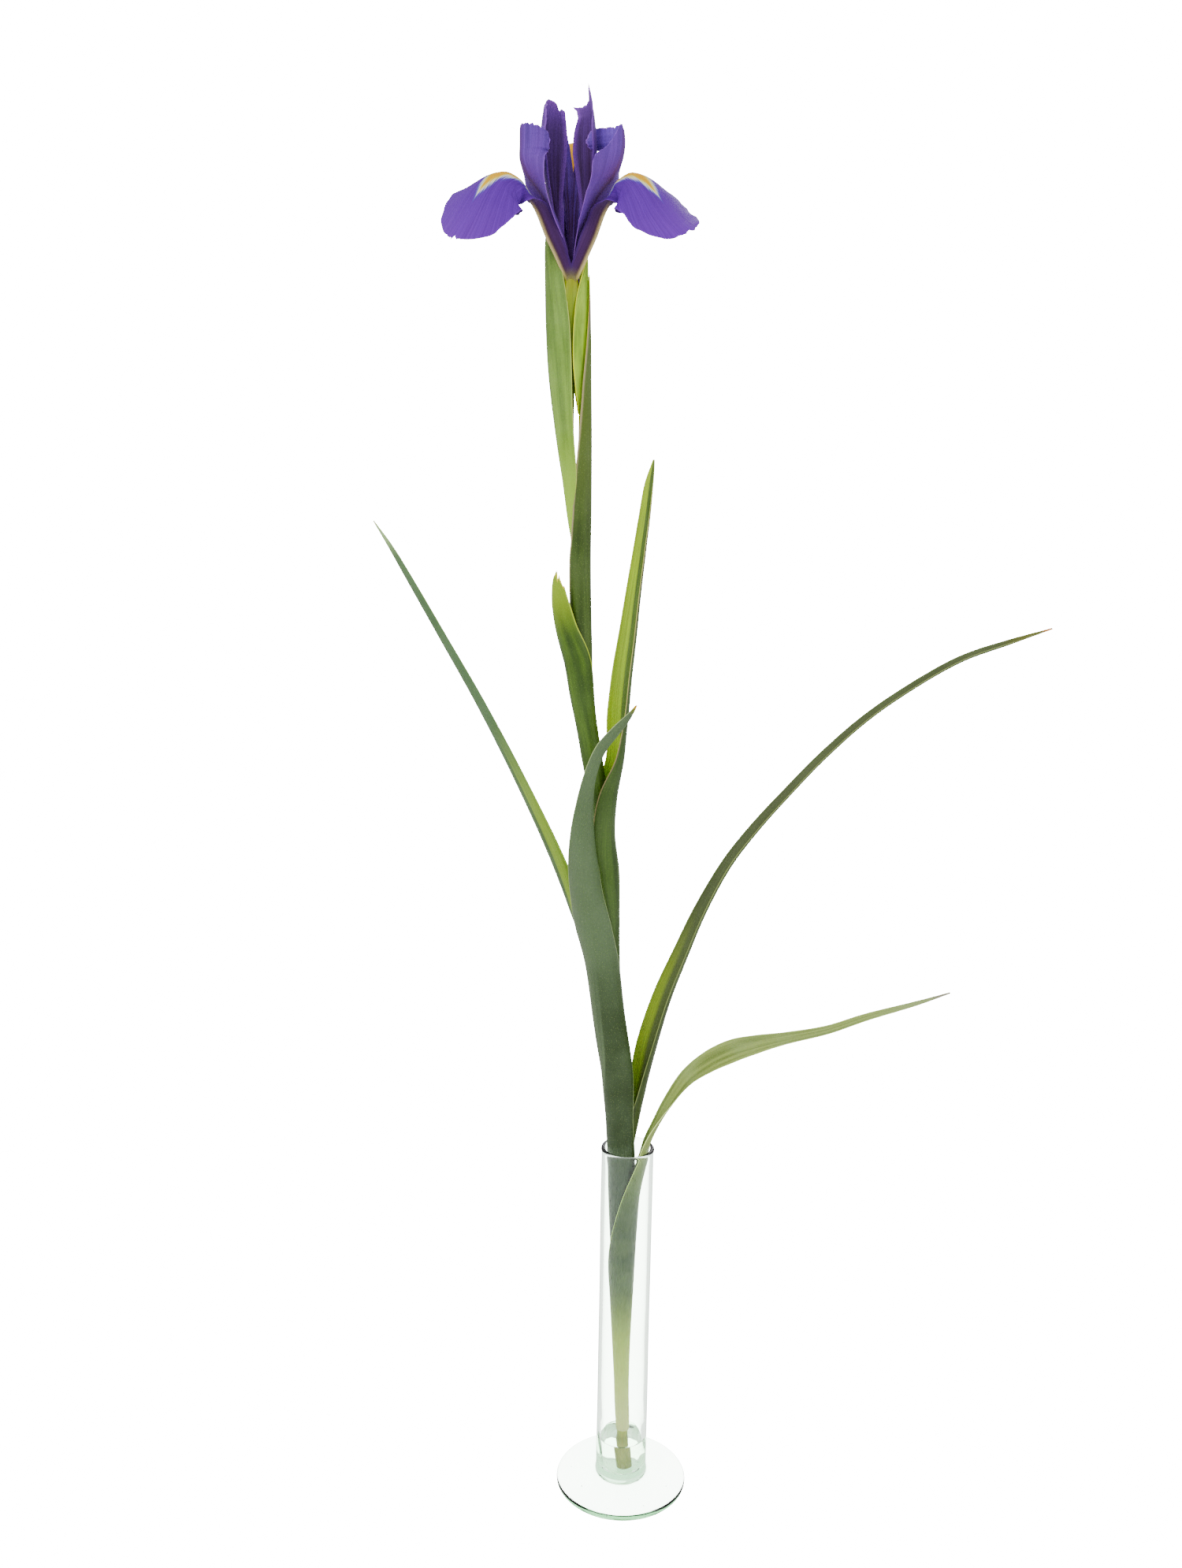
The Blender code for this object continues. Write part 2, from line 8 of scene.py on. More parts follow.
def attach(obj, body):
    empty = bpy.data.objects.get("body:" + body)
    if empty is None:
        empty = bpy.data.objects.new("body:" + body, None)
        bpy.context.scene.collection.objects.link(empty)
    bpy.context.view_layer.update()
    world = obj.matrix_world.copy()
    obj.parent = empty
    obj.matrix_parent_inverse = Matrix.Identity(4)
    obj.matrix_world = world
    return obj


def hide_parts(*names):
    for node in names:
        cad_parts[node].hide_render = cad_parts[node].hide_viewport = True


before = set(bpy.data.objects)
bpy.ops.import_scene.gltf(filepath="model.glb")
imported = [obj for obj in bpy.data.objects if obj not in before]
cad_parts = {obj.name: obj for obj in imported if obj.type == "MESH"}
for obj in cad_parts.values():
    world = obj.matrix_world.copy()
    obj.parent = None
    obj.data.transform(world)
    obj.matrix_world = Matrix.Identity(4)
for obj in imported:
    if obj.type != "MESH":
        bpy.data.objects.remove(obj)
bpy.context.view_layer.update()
mm = 0.001
print("frame loaded with", len(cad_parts), "nodes")

studio = {
    "cameraPlace": (-17.92, -576.6, 438.3), "cameraPitch": 0.2068, "cameraRoll": 0.0152, "lens": 33.54,
    "floorRadius": 6, "floorWhite": 22, "worldWhite": 22, "worldLight": 0.8,
    "mirrored": 0.1,  # share of the white sweep seen in a reflection
}
# the film-like view: what it covers, in doublings of light, and where tones are kept within
view = {"range": 16.5, "darkest": -12.474, "veil": 0.012, "level": 1.15, "least": 0.0015, "most": 0.95}


def makeStudio():
    cameraData = bpy.data.cameras.new("studioCamera")
    cameraData.lens = studio["lens"]
    cameraData.sensor_width = 36
    cameraData.clip_start = 0.02
    cameraData.clip_end = 60
    camera = bpy.data.objects.new("studioCamera", cameraData)
    bpy.context.scene.collection.objects.link(camera)
    turn = Matrix.Rotation(math.pi / 2 - studio["cameraPitch"], 4, "X")
    turn = turn @ Matrix.Rotation(studio["cameraRoll"], 4, "Z")
    camera.matrix_world = Matrix.Translation(Vector(studio["cameraPlace"]) * mm) @ turn
    bpy.context.scene.camera = camera

    floor = fresh("paleFloor", bpy.ops.mesh.primitive_circle_add, vertices=96, radius=studio["floorRadius"],
                  fill_type="NGON")
    floor.location.z = -0.0002
    paper, tree, shader = newMaterial("paleFloor", {
        "Base Color": (0.86, 0.86, 0.86, 1), "Roughness": 0.9, "Emission Color": (1, 1, 1, 1)})
    glow = math1(tree, "MULTIPLY", lookedThrough(tree), studio["floorWhite"])
    tree.links.new(glow, shader.inputs["Emission Strength"])
    floor.data.materials.append(paper)

    world = bpy.data.worlds.new("whiteSweep")
    bpy.context.scene.world = world
    world.use_nodes = True
    tree = world.node_tree
    background = tree.nodes["Background"]
    background.inputs["Color"].default_value = (1, 1, 1, 1)
    extra = math1(tree, "MULTIPLY", lookedThrough(tree), studio["worldWhite"])
    strength = math1(tree, "ADD", extra, studio["worldLight"])
    tree.links.new(strength, background.inputs["Strength"])

    softbox("keySoftbox", (-0.75, -0.75, 1.05), 0.8, 6.5, (-0.03, 0, 0.40))
    softbox("fillSoftbox", (0.95, -0.35, 0.70), 0.7, 2.8, (0, 0, 0.35))
    softbox("rimSoftbox", (0.25, 0.95, 0.95), 0.8, 5.0, (0, 0, 0.40))


# the sweep is white where it is looked at, straight or through the glass, and gentler as a light
def lookedThrough(tree):
    path = tree.nodes.new("ShaderNodeLightPath").outputs
    straight = math1(tree, "MAXIMUM", path["Is Camera Ray"], path["Is Transmission Ray"])
    plain = math1(tree, "LESS_THAN", path["Diffuse Depth"], 0.5)
    turned = math1(tree, "GREATER_THAN", path["Glossy Depth"], 0.5)
    share = between(tree, turned, 0, 1, 1, studio["mirrored"])
    return math1(tree, "MULTIPLY", straight, math1(tree, "MULTIPLY", plain, share))


def softbox(name, place, size, power, target):
    data = bpy.data.lights.new(name, "AREA")
    data.shape = "DISK"
    data.size = size
    data.energy = power
    lamp = bpy.data.objects.new(name, data)
    bpy.context.scene.collection.objects.link(lamp)
    lamp.location = place
    lamp.rotation_euler = (Vector(target) - Vector(place)).to_track_quat("-Z", "Y").to_euler()
    lamp.visible_camera = False


# a new mesh piece from one of Blender's own shapes
def fresh(name, add, **settings):
    bpy.ops.object.select_all(action="DESELECT")
    add(**settings)
    piece = bpy.context.object
    piece.name = name
    piece.data.name = name
    return piece


def put(tree, kind, inputs=None, **settings):
    made = tree.nodes.new(kind)
    for key, value in settings.items():
        setattr(made, key, value)
    for key, value in (inputs or {}).items():
        if isinstance(value, bpy.types.NodeSocket):
            tree.links.new(value, made.inputs[key])
        else:
            made.inputs[key].default_value = value
    return made


def useGroup(tree, group, inputs):
    return put(tree, "ShaderNodeGroup", inputs, node_tree=group).outputs


def math1(tree, operation, a, b=0, c=0):
    return put(tree, "ShaderNodeMath", {0: a, 1: b, 2: c}, operation=operation).outputs[0]


# three whole numbers are a tone; a socket or a finished colour stays as it is
def shade(colour):
    return tone(*colour) if isinstance(colour, tuple) and len(colour) == 3 else colour


def blend(tree, factor, a, b):
    made = put(tree, "ShaderNodeMix", {0: factor, 6: shade(a), 7: shade(b)}, data_type="RGBA")
    return made.outputs[2]


# the other colour shows only as far as the mask and the strength let it
def touch(tree, mask, strength, colour, other):
    return blend(tree, math1(tree, "MULTIPLY", mask, strength), colour, other)


def between(tree, value, low, high, first=0, last=1):
    inputs = {"Value": value, "From Min": low, "From Max": high, "To Min": first, "To Max": last}
    return put(tree, "ShaderNodeMapRange", inputs, interpolation_type="SMOOTHSTEP").outputs["Result"]


def ramp(tree, factor, stops):
    made = put(tree, "ShaderNodeValToRGB", {"Fac": factor})
    bar = made.color_ramp
    while len(bar.elements) > 1:
        bar.elements.remove(bar.elements[-1])
    bar.elements[0].position = stops[0][0]
    bar.elements[0].color = shade(stops[0][1])
    for place, colour in stops[1:]:
        bar.elements.new(place).color = shade(colour)
    return made.outputs["Color"]


def measure(tree, name):
    return put(tree, "ShaderNodeAttribute", attribute_name=name).outputs["Fac"]


def objectPlace(tree):
    return put(tree, "ShaderNodeTexCoord").outputs["Object"]


def growthPlace(tree):
    return put(tree, "ShaderNodeUVMap", uv_map="growth").outputs[0]


def scaled(tree, colour, gain):
    return put(tree, "ShaderNodeVectorMath", {0: colour, 3: gain}, operation="SCALE").outputs[0]


# a colour as the eye sees it, 0 to 255, turned to the linear one that the shader takes; the film-like
# view dulls strong and bright colours, so those are made stronger here
def tone(red, green, blue):
    spread = np.array([[0.8425, 0.0784, 0.0792], [0.0423, 0.8785, 0.0792], [0.0424, 0.0784, 0.8791]])
    level = np.linspace(0, 1, 400)
    curve = 15.5 * level ** 6 - 40.14 * level ** 5 + 31.96 * level ** 4 - 6.868 * level ** 3
    curve = np.maximum.accumulate(curve + 0.4298 * level ** 2 + 0.1191 * level - 0.00232)
    seen = np.interp(spread @ (np.array([red, green, blue]) / 255), curve, level)
    light = np.linalg.inv(spread) @ (2.0 ** (seen * view["range"] + view["darkest"]))
    light = np.clip((light - view["veil"]) / view["level"], view["least"], view["most"])
    return (*[float(part) for part in light], 1.0)


# inputs are numbers, or a vector where nothing is given; outputs are all numbers
def newGroup(name, inputs, outputs):
    group = bpy.data.node_groups.new(name, "ShaderNodeTree")
    for label, value in inputs.items():
        kind = "NodeSocketVector" if value is None else "NodeSocketFloat"
        made = group.interface.new_socket(name=label, in_out="INPUT", socket_type=kind)
        if value is not None:
            made.default_value = value
    for label in outputs:
        group.interface.new_socket(name=label, in_out="OUTPUT", socket_type="NodeSocketFloat")
    return group, group.nodes.new("NodeGroupInput").outputs, group.nodes.new("NodeGroupOutput").inputs


# long streaks that follow a petal or a leaf: fine ribs and broader bands, 0 to 1
def makeStreaks():
    group, given, result = newGroup("plantStreaks", {"Vector": None, "Across": 60, "Along": 3, "Seed": 0},
                                    ("Fine", "Broad"))
    parts = put(group, "ShaderNodeSeparateXYZ", {0: given["Vector"]}).outputs
    across = math1(group, "MULTIPLY", parts[0], given["Across"])
    along = math1(group, "MULTIPLY", parts[1], given["Along"])
    wide = math1(group, "MULTIPLY", across, 0.22)
    for label, source, detail, rough in (("Fine", across, 3, 0.6), ("Broad", wide, 2, 0.5)):
        space = put(group, "ShaderNodeCombineXYZ", {0: source, 1: along, 2: given["Seed"]}).outputs[0]
        noise = put(group, "ShaderNodeTexNoise", {"Vector": space, "Scale": 1, "Detail": detail,
                                                  "Roughness": rough})
        group.links.new(between(group, noise.outputs["Fac"], 0.3, 0.7), result[label])
    return group


# cloudy unevenness and small pale dots of living tissue
def makeMottle():
    group, given, result = newGroup("plantMottle", {"Size": 120, "Dots": 900}, ("Cloud", "Dots"))
    place = objectPlace(group)
    cloud = put(group, "ShaderNodeTexNoise", {"Vector": place, "Scale": given["Size"], "Detail": 4})
    dots = put(group, "ShaderNodeTexVoronoi", {"Vector": place, "Scale": given["Dots"], "Randomness": 1})
    group.links.new(between(group, cloud.outputs["Fac"], 0.3, 0.7), result["Cloud"])
    group.links.new(between(group, dots.outputs["Distance"], 0.25, 0.05), result["Dots"])
    return group


# the margin of a sheet: 1 on its very edge, ragged towards the middle
def makeMargin():
    group, given, result = newGroup("plantMargin", {"From Edge": 0, "Width": 0.5, "Ragged": 0}, ("Mask",))
    shifted = math1(group, "ADD", given["From Edge"], given["Ragged"])
    share = math1(group, "DIVIDE", shifted, given["Width"])
    group.links.new(between(group, share, 1, 0.3), result["Mask"])
    return group


streaks = makeStreaks()
mottle = makeMottle()
margin = makeMargin()


def newMaterial(name, values):
    finish = bpy.data.materials.new(name)
    finish.use_nodes = True
    tree = finish.node_tree
    shader = tree.nodes["Principled BSDF"]
    for key, value in values.items():
        shader.inputs[key].default_value = value
    return finish, tree, shader


# living tissue that lets some light through; glow is how far each colour of it spreads
def newFinish(name, roughness, thinness, glow, sheen=0, gloss=0.35, spread=0.0012):
    return newMaterial(name, {
        "Roughness": roughness, "Subsurface Weight": thinness, "Subsurface Scale": spread,
        "Subsurface Radius": glow, "Specular IOR Level": gloss, "Sheen Weight": sheen,
        "Sheen Roughness": 0.4})


def addBump(tree, shader, height, distance, strength=0.5):
    bump = put(tree, "ShaderNodeBump", {"Height": height, "Distance": distance, "Strength": strength})
    tree.links.new(bump.outputs[0], shader.inputs["Normal"])


def rimMask(tree, edge, width, ragged):
    return useGroup(tree, margin, {"From Edge": edge, "Width": width, "Ragged": ragged})[0]


# a leaf or bract; tones: deep, light, vein, bloom, rim. Others take over along its length, with
# height, over one half or towards the tip
def leafFinish(name, look):
    finish, tree, shader = newFinish(name, 0.46, 0.18, (0.6, 1.0, 0.2))
    deep, light, vein, bloom, rim = look["tones"]
    uv = growthPlace(tree)
    veins = useGroup(tree, streaks, {"Vector": uv, "Across": look["veins"], "Along": 5,
                                     "Seed": look.get("seed", 0)})
    cloud = useGroup(tree, mottle, {"Size": 60, "Dots": look.get("dots", 1400)})
    length = measure(tree, "lengthwise")
    colour = blend(tree, veins["Broad"], deep, light)
    if "side" in look:
        place, width, other = look["side"]
        side = put(tree, "ShaderNodeSeparateXYZ", {0: uv}).outputs[0]
        colour = blend(tree, between(tree, side, place - width, place + width), colour, other)
    colour = touch(tree, veins["Fine"], 0.35, colour, vein)
    for low, high, other in look.get("bands", []):
        colour = blend(tree, between(tree, length, low, high), colour, other)
    for low, high, other in look.get("heights", []):
        height = put(tree, "ShaderNodeSeparateXYZ", {0: objectPlace(tree)}).outputs[2]
        colour = blend(tree, between(tree, height, low * mm, high * mm), colour, other)
    colour = touch(tree, cloud["Dots"], look.get("dotStrength", 0.1), colour,
                   look.get("dotTone", (196, 205, 160)))
    colour = touch(tree, cloud["Cloud"], 0.22, colour, bloom)
    ragged = math1(tree, "MULTIPLY", cloud["Cloud"], 0.12)
    mask = rimMask(tree, measure(tree, "fromEdge"), look.get("rimWidth", 0.55), ragged)
    colour = touch(tree, mask, 0.8, colour, rim)
    for distance, other in look.get("tips", []):
        near = between(tree, measure(tree, "fromTip"), distance, distance * 0.35)
        colour = blend(tree, near, colour, other)
    tree.links.new(scaled(tree, colour, look.get("gain", 1.55)), shader.inputs["Base Color"])
    addBump(tree, shader, veins["Fine"], 0.00012, 0.6)
    return finish


# a petal: tone along its length, radiating veins, and where asked stripes beside the keel or a signal;
# tones: light, vein, rim
def petalFinish(name, look):
    finish, tree, shader = newFinish(name, 0.55, 0.12, (0.7, 0.5, 0.8), 0.04, 0.12, 0.0004)
    light, vein, rim = look["tones"]
    fan = put(tree, "ShaderNodeCombineXYZ", {0: measure(tree, "veinTurn"), 1: measure(tree, "veinRun")})
    veins = useGroup(tree, streaks, {"Vector": fan.outputs[0], "Across": look["veins"],
                                     "Along": look.get("veinLength", 1.6), "Seed": look["seed"]})
    cloud = useGroup(tree, mottle, {"Size": 110, "Dots": 2600})
    along = measure(tree, "along")
    colour = touch(tree, veins["Broad"], 0.5, ramp(tree, along, look["along"]), light)
    colour = touch(tree, veins["Fine"], 0.45, colour, vein)
    colour = touch(tree, cloud["Cloud"], 0.15, colour, light)
    ragged = math1(tree, "MULTIPLY", veins["Fine"], 0.5)
    mask = rimMask(tree, measure(tree, "fromEdge"), look["rimWidth"], ragged)
    colour = touch(tree, mask, look["rimStrength"], colour, rim)
    for low, high, width, soft, other in look.get("keels", []):
        here = between(tree, measure(tree, "fromKeel"), width + soft, width - soft)
        here = math1(tree, "MULTIPLY", here, between(tree, along, high + 0.04, high - 0.04))
        here = math1(tree, "MULTIPLY", here, between(tree, along, low - 0.04, low + 0.04))
        colour = blend(tree, here, colour, other)
    if "signal" in look:
        frayed = math1(tree, "MULTIPLY_ADD", veins["Fine"], 1.5, measure(tree, "signal"))
        for start, stop, other in look["signal"]:
            colour = blend(tree, between(tree, frayed, start, stop), colour, other)
    tree.links.new(colour, shader.inputs["Base Color"])
    addBump(tree, shader, veins["Fine"], 0.00010, 0.5)
    return finish


# glass and water
def clearFinish(name, tint, bending, depth=None, density=0):
    finish, tree, shader = newMaterial(name, {
        "Base Color": tint, "Roughness": 0, "IOR": bending, "Transmission Weight": 1})
    if depth:
        soak = put(tree, "ShaderNodeVolumeAbsorption", {"Color": depth, "Density": density})
        tree.links.new(soak.outputs[0], tree.nodes["Material Output"].inputs["Volume"])
    return finish, tree, shader


def heading(azimuth, elevation=0.0):
    a = math.radians(azimuth)
    e = math.radians(elevation)
    return [math.cos(a) * math.cos(e), math.sin(a) * math.cos(e), math.sin(e)]


# a column of a table of rows, read at each place in its first column
def readTable(table, place, column=1):
    return np.interp(place, [row[0] for row in table], [row[column] for row in table])


# smooth value of the stations at each s, 0 at the first and 1 at the last
def flow(rows, s):
    rows = np.asarray(rows, float)
    place = np.clip(s, 0, 1) * (len(rows) - 1)
    i = np.minimum(place.astype(int), len(rows) - 2)
    u = (place - i)[:, None]
    more = np.vstack([2 * rows[0] - rows[1], rows, 2 * rows[-1] - rows[-2]])
    p0, p1, p2, p3 = more[i], more[i + 1], more[i + 2], more[i + 3]
    return 0.5 * (2 * p1 + (p2 - p0) * u + (2 * p0 - 5 * p1 + 4 * p2 - p3) * u ** 2
                  + (3 * p1 - p0 - 3 * p2 + p3) * u ** 3)


def unit(vectors):
    return vectors / np.linalg.norm(vectors, axis=1)[:, None]


def tangentAt(rows, s):
    step = 0.004
    ahead = flow(rows, np.minimum(s + step, 1))[:, :3]
    return unit(ahead - flow(rows, np.maximum(s - step, 0))[:, :3])


def wave(x, seed):
    return (np.sin(x + seed) + 0.5 * np.sin(2.3 * x + 1.7 * seed) + 0.3 * np.sin(5.1 * x + 2.9 * seed)) / 1.8


stemLook = {
    "line": [(8.4, 0.8), (60, -1.0), (120, -2.0), (160, -2.6), (180, -3.7), (200, -5.3), (220, -7.2),
             (245, -8.9), (284, -10.6), (300, -12.6), (320, -16.2), (336, -19.2), (352, -21.6),
             (372, -22.7), (399, -23.5), (414, -23.8)],
    "radius": 2.4, "nodes": [44, 92, 121, 147, 186, 288, 347, 405], "swelling": 0.22,
}


def stemPlace(z):
    return np.array([readTable(stemLook["line"], z), 0.0, z])


# stations: keel point, flat width, half angle of the curl, sharpness of the fold, outward direction
def free(x, y, z, width, curl, azimuth, elevation=0.0, fold=1.0):
    return [x, y, z, width, math.radians(curl), fold, *heading(azimuth, elevation)]


def wrap(z, radius, azimuth, halfAngle, dx=0.0, dy=0.0):
    out = heading(azimuth)
    keel = stemPlace(z) + np.array([dx, dy, 0.0]) + radius * np.array(out)
    angle = math.radians(halfAngle)
    return [*keel, 2 * angle * radius, angle, 1.0, *out]


# a sheet's stations: first those wrapped round the stem, then the free ones
def strip(wraps, frees):
    return [wrap(*row) for row in wraps] + [free(*row) for row in frees]


bloomLook = {"x": -28.2, "z": 512, "left": 207, "right": 333, "back": 90, "leftStandard": 150,
             "rightStandard": 30}


# petal stations: distance from the flower's axis, height, flat width, curl, roll, own fold
def petalRows(azimuth, stations, fold=1.0):
    radial = np.array(heading(azimuth))
    side = np.array(heading(azimuth + 90))
    rise = np.gradient([float(p[1]) for p in stations])
    run = np.gradient([float(p[0]) for p in stations])
    rows = []
    for k, (radius, height, width, curl, roll, *sharper) in enumerate(stations):
        centre = np.array([bloomLook["x"], 0.0, bloomLook["z"] + height]) + radius * radial
        out = (rise[k] * radial - run[k] * np.array([0.0, 0.0, 1.0])) / math.hypot(rise[k], run[k])
        turn = math.radians(roll)
        out = math.cos(turn) * out + math.sin(turn) * side
        rows.append([*centre, width, math.radians(curl), sharper[0] if sharper else fold, *out])
    return rows


# points of a sheet at s along it and t across it, -1 to 1, walked outwards from the keel
def curledPoints(rows, s, t, widen, turnMore=1.0):
    row = flow(rows, s)
    tangent = tangentAt(rows, s)
    out = unit(row[:, 6:9] - (row[:, 6:9] * tangent).sum(1)[:, None] * tangent)
    across = np.cross(tangent, out)
    steps = 16
    share = np.abs(t) / steps
    side = np.where(t < 0, -1.0, 1.0)
    width = np.maximum(row[:, 3], 0.0) * widen
    points = row[:, :3].copy()
    curl = row[:, 4] * turnMore
    for k in range(steps):
        angle = curl * (1 - (1 - (k + 0.5) * share) ** row[:, 5])
        points += (width / 2 * share * side * np.cos(angle))[:, None] * across
        points -= (width / 2 * share * np.sin(angle))[:, None] * out
    angle = curl * (1 - (1 - np.abs(t)) ** row[:, 5])
    facing = np.cos(angle)[:, None] * out + (side * np.sin(angle))[:, None] * across
    return points, facing, width


def smoothNow(angle=50):
    bpy.ops.object.shade_smooth_by_angle(angle=math.radians(angle))


def meshPlaces(mesh):
    flat = np.zeros(len(mesh.vertices) * 3)
    mesh.vertices.foreach_get("co", flat)
    return flat.reshape(-1, 3)


# moves the vertices, and stores each one's place across and along as the growth map
def bend(mesh, points, across, along):
    mesh.vertices.foreach_set("co", (points * mm).ravel())
    for layer in list(mesh.uv_layers):
        mesh.uv_layers.remove(layer)
    layer = mesh.uv_layers.new(name="growth")
    corners = np.zeros(len(mesh.loops), int)
    mesh.loops.foreach_get("vertex_index", corners)
    spread = np.stack([across, along], axis=1)[corners]
    layer.data.foreach_set("uv", spread.astype(np.float32).ravel())


def store(mesh, label, values):
    made = mesh.attributes.new(label, "FLOAT", "POINT")
    made.data.foreach_set("value", np.asarray(values, np.float32))


# says what a new piece replaces, and lets it ride with the whole
def settle(piece, node):
    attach(piece, "root")
    if node:
        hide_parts(node)
    return piece


# a flat grid is laid along the stations, curled, ruffled, cut to its outline and given a thickness
def growSheet(name, rows, look, inner, outer, node):
    sheet = fresh(name, bpy.ops.mesh.primitive_grid_add, x_subdivisions=look["lengths"],
                  y_subdivisions=look["widths"], size=2)
    mesh = sheet.data
    flat = meshPlaces(mesh)
    share = (flat[:, 0] + 1) / 2
    t = flat[:, 1]
    seed = look.get("seed", 1.0)
    reach = readTable(look.get("outline", [(-1, 1), (1, 1)]), t)
    jag = look.get("jag", 0.0) * np.where(np.sign(t) == look.get("calmHalf", 0), 0.1, 1.0)
    reach = reach + jag * wave(t * look.get("jagWaves", 30), seed)
    reach = reach + jag * 0.6 * np.abs(np.sin(t * look.get("jagWaves", 30) * 1.9 + seed))
    s = share * np.minimum(reach, 1.0)
    late = np.clip((s - look.get("frillFrom", 0.5)) / 0.2, 0, 1)
    frill = look.get("frill", 0.0) * late * wave(s * look.get("frillWaves", 60) + np.sign(t) * 2, seed)
    widen = 1 + frill
    turnMore = np.ones(len(t))
    for label, half in (("minusHalf", t < 0), ("plusHalf", t > 0)):  # one half wider or more curled
        table = look.get(label, [(0, 1, 1), (1, 1, 1)])
        widen = np.where(half, widen * readTable(table, s), widen)
        turnMore = np.where(half, readTable(table, s, 2), turnMore)
    points, facing, width = curledPoints(rows, s, t, widen, turnMore)
    crimp = look.get("ruffle", 0.0) * late * np.abs(t) ** 2.5
    points += (crimp * wave(s * look.get("ruffleWaves", 24) + np.sign(t), seed + 3))[:, None] * facing
    sway = look.get("sway", 0.0) * np.abs(t)
    points += (sway * wave(s * 9 + np.sign(t) * 1.3, seed + 5))[:, None] * facing
    pull = readTable(look.get("hang", [(0, 0), (1, 0)]), s) * np.abs(t)  # margins drawn to the middle
    outwards = np.array([rows[-1][0] - rows[0][0], rows[-1][1] - rows[0][1], 0.0])
    points -= pull[:, None] * (outwards / max(np.linalg.norm(outwards), 0.001))
    bend(mesh, points, (t + 1) / 2, s)

    marks = np.linspace(0, 1, 200)
    steps = np.linalg.norm(np.diff(flow(rows, marks)[:, :3], axis=0), axis=1)
    total = np.concatenate([[0], np.cumsum(steps)])
    edge = (1 - np.abs(t)) * width / 2
    tipGap = (1 - share) * np.interp(reach, marks, total)
    keel = np.abs(t) * width / 2
    source = look.get("fan", -1.0)
    run = np.maximum(s - source, 0.02) * total[-1]
    turn = np.arctan2(t * width / 2, run) if source >= 0 else t * 0.5
    store(mesh, "along", s)
    store(mesh, "lengthwise", np.interp(s, marks, total))
    store(mesh, "fromEdge", np.minimum(edge, tipGap))
    store(mesh, "fromTip", tipGap)
    store(mesh, "fromKeel", keel)
    store(mesh, "veinTurn", turn)
    store(mesh, "veinRun", s)
    if "signal" in look:
        store(mesh, "signal", keel - readTable(look["signal"], s))

    thick = sheet.vertex_groups.new(name="thickness")
    thin = look["thinEdge"]
    body = np.round(thin + (1 - thin) * np.clip(np.minimum(edge, tipGap) / look["taper"], 0, 1), 1)
    for level in np.unique(body):
        thick.add([int(v) for v in np.nonzero(body == level)[0]], float(level), "REPLACE")
    mesh.materials.append(inner)
    mesh.materials.append(outer)
    solid = sheet.modifiers.new("thickness", "SOLIDIFY")
    solid.thickness = look["thickness"] * mm
    solid.offset = 0
    solid.vertex_group = "thickness"
    solid.material_offset = 1
    bpy.ops.object.modifier_apply(modifier="thickness")
    smoothNow()
    return settle(sheet, node)


# a round rod through the centres, with its ends closed, from a cylinder cut into rings
def growRod(name, centres, radii, look, finish, node):
    rod = fresh(name, bpy.ops.mesh.primitive_cylinder_add, vertices=look["sides"], radius=1, depth=1,
                end_fill_type="TRIFAN")
    mesh = rod.data
    bpy.ops.object.mode_set(mode="EDIT")
    bpy.ops.mesh.select_all(action="DESELECT")
    bm = bmesh.from_edit_mesh(mesh)
    for edge in bm.edges:
        edge.select = abs(edge.verts[0].co.z - edge.verts[1].co.z) > 0.5
    bmesh.update_edit_mesh(mesh)
    bpy.ops.mesh.subdivide(number_cuts=look["rings"])
    bpy.ops.object.mode_set(mode="OBJECT")
    flat = meshPlaces(mesh)
    s = flat[:, 2] + 0.5
    turn = np.arctan2(flat[:, 1], flat[:, 0])
    rim = np.hypot(flat[:, 0], flat[:, 1])
    rows = np.hstack([np.asarray(centres, float), np.asarray(radii, float)[:, None]])
    here = flow(rows, s)
    tangent = tangentAt(rows, s)
    side = unit(np.cross(np.array([0.0, 1.0, 0.0]), tangent))
    other = np.cross(tangent, side)
    wide = here[:, 3] * (1 + look.get("ribDepth", 0.0) * np.cos(look.get("ribs", 12) * turn))
    nodeLength = 1.3
    for height in look.get("nodes", []):
        wide = wide + look["swelling"] * np.exp(-((here[:, 2] - height) / nodeLength) ** 2)
    size, place, length = look.get("lobes", (0, 1, 1))
    wide = wide * (1 + size * np.cos(3 * turn) * np.exp(-((s - place) / length) ** 2))
    points = here[:, :3] + (rim * wide * np.cos(turn))[:, None] * side
    points += (rim * wide * np.sin(turn))[:, None] * other
    bend(mesh, points, turn / math.tau + 0.5, s)
    store(mesh, "along", s)
    mesh.materials.append(finish)
    smoothNow(60)
    return settle(rod, node)


# a closed outline of (radius, height) is spun about the upright axis
def spinPiece(name, outline, sides, finish, node):
    piece = fresh(name, bpy.ops.mesh.primitive_circle_add, vertices=len(outline), radius=1,
                  fill_type="NOTHING")
    mesh = piece.data
    for vertex, (radius, height) in zip(mesh.vertices, outline):
        vertex.co = (radius * mm, 0.0, height * mm)
    bpy.ops.object.mode_set(mode="EDIT")
    # the edge that lies on the axis isn't part of the surface
    bpy.ops.mesh.select_all(action="DESELECT")
    bm = bmesh.from_edit_mesh(mesh)
    for edge in bm.edges:
        edge.select = all(abs(v.co.x) < 1e-7 for v in edge.verts)
    bmesh.update_edit_mesh(mesh)
    bpy.ops.mesh.delete(type="EDGE")
    bpy.ops.mesh.select_all(action="SELECT")
    bpy.ops.mesh.spin(steps=sides, angle=math.tau, center=(0, 0, 0), axis=(0, 0, 1))
    bpy.ops.mesh.select_all(action="SELECT")
    bpy.ops.mesh.remove_doubles(threshold=0.00001)
    bpy.ops.mesh.normals_make_consistent(inside=False)
    bpy.ops.object.mode_set(mode="OBJECT")
    mesh.materials.append(finish)
    smoothNow(60)
    return settle(piece, node)


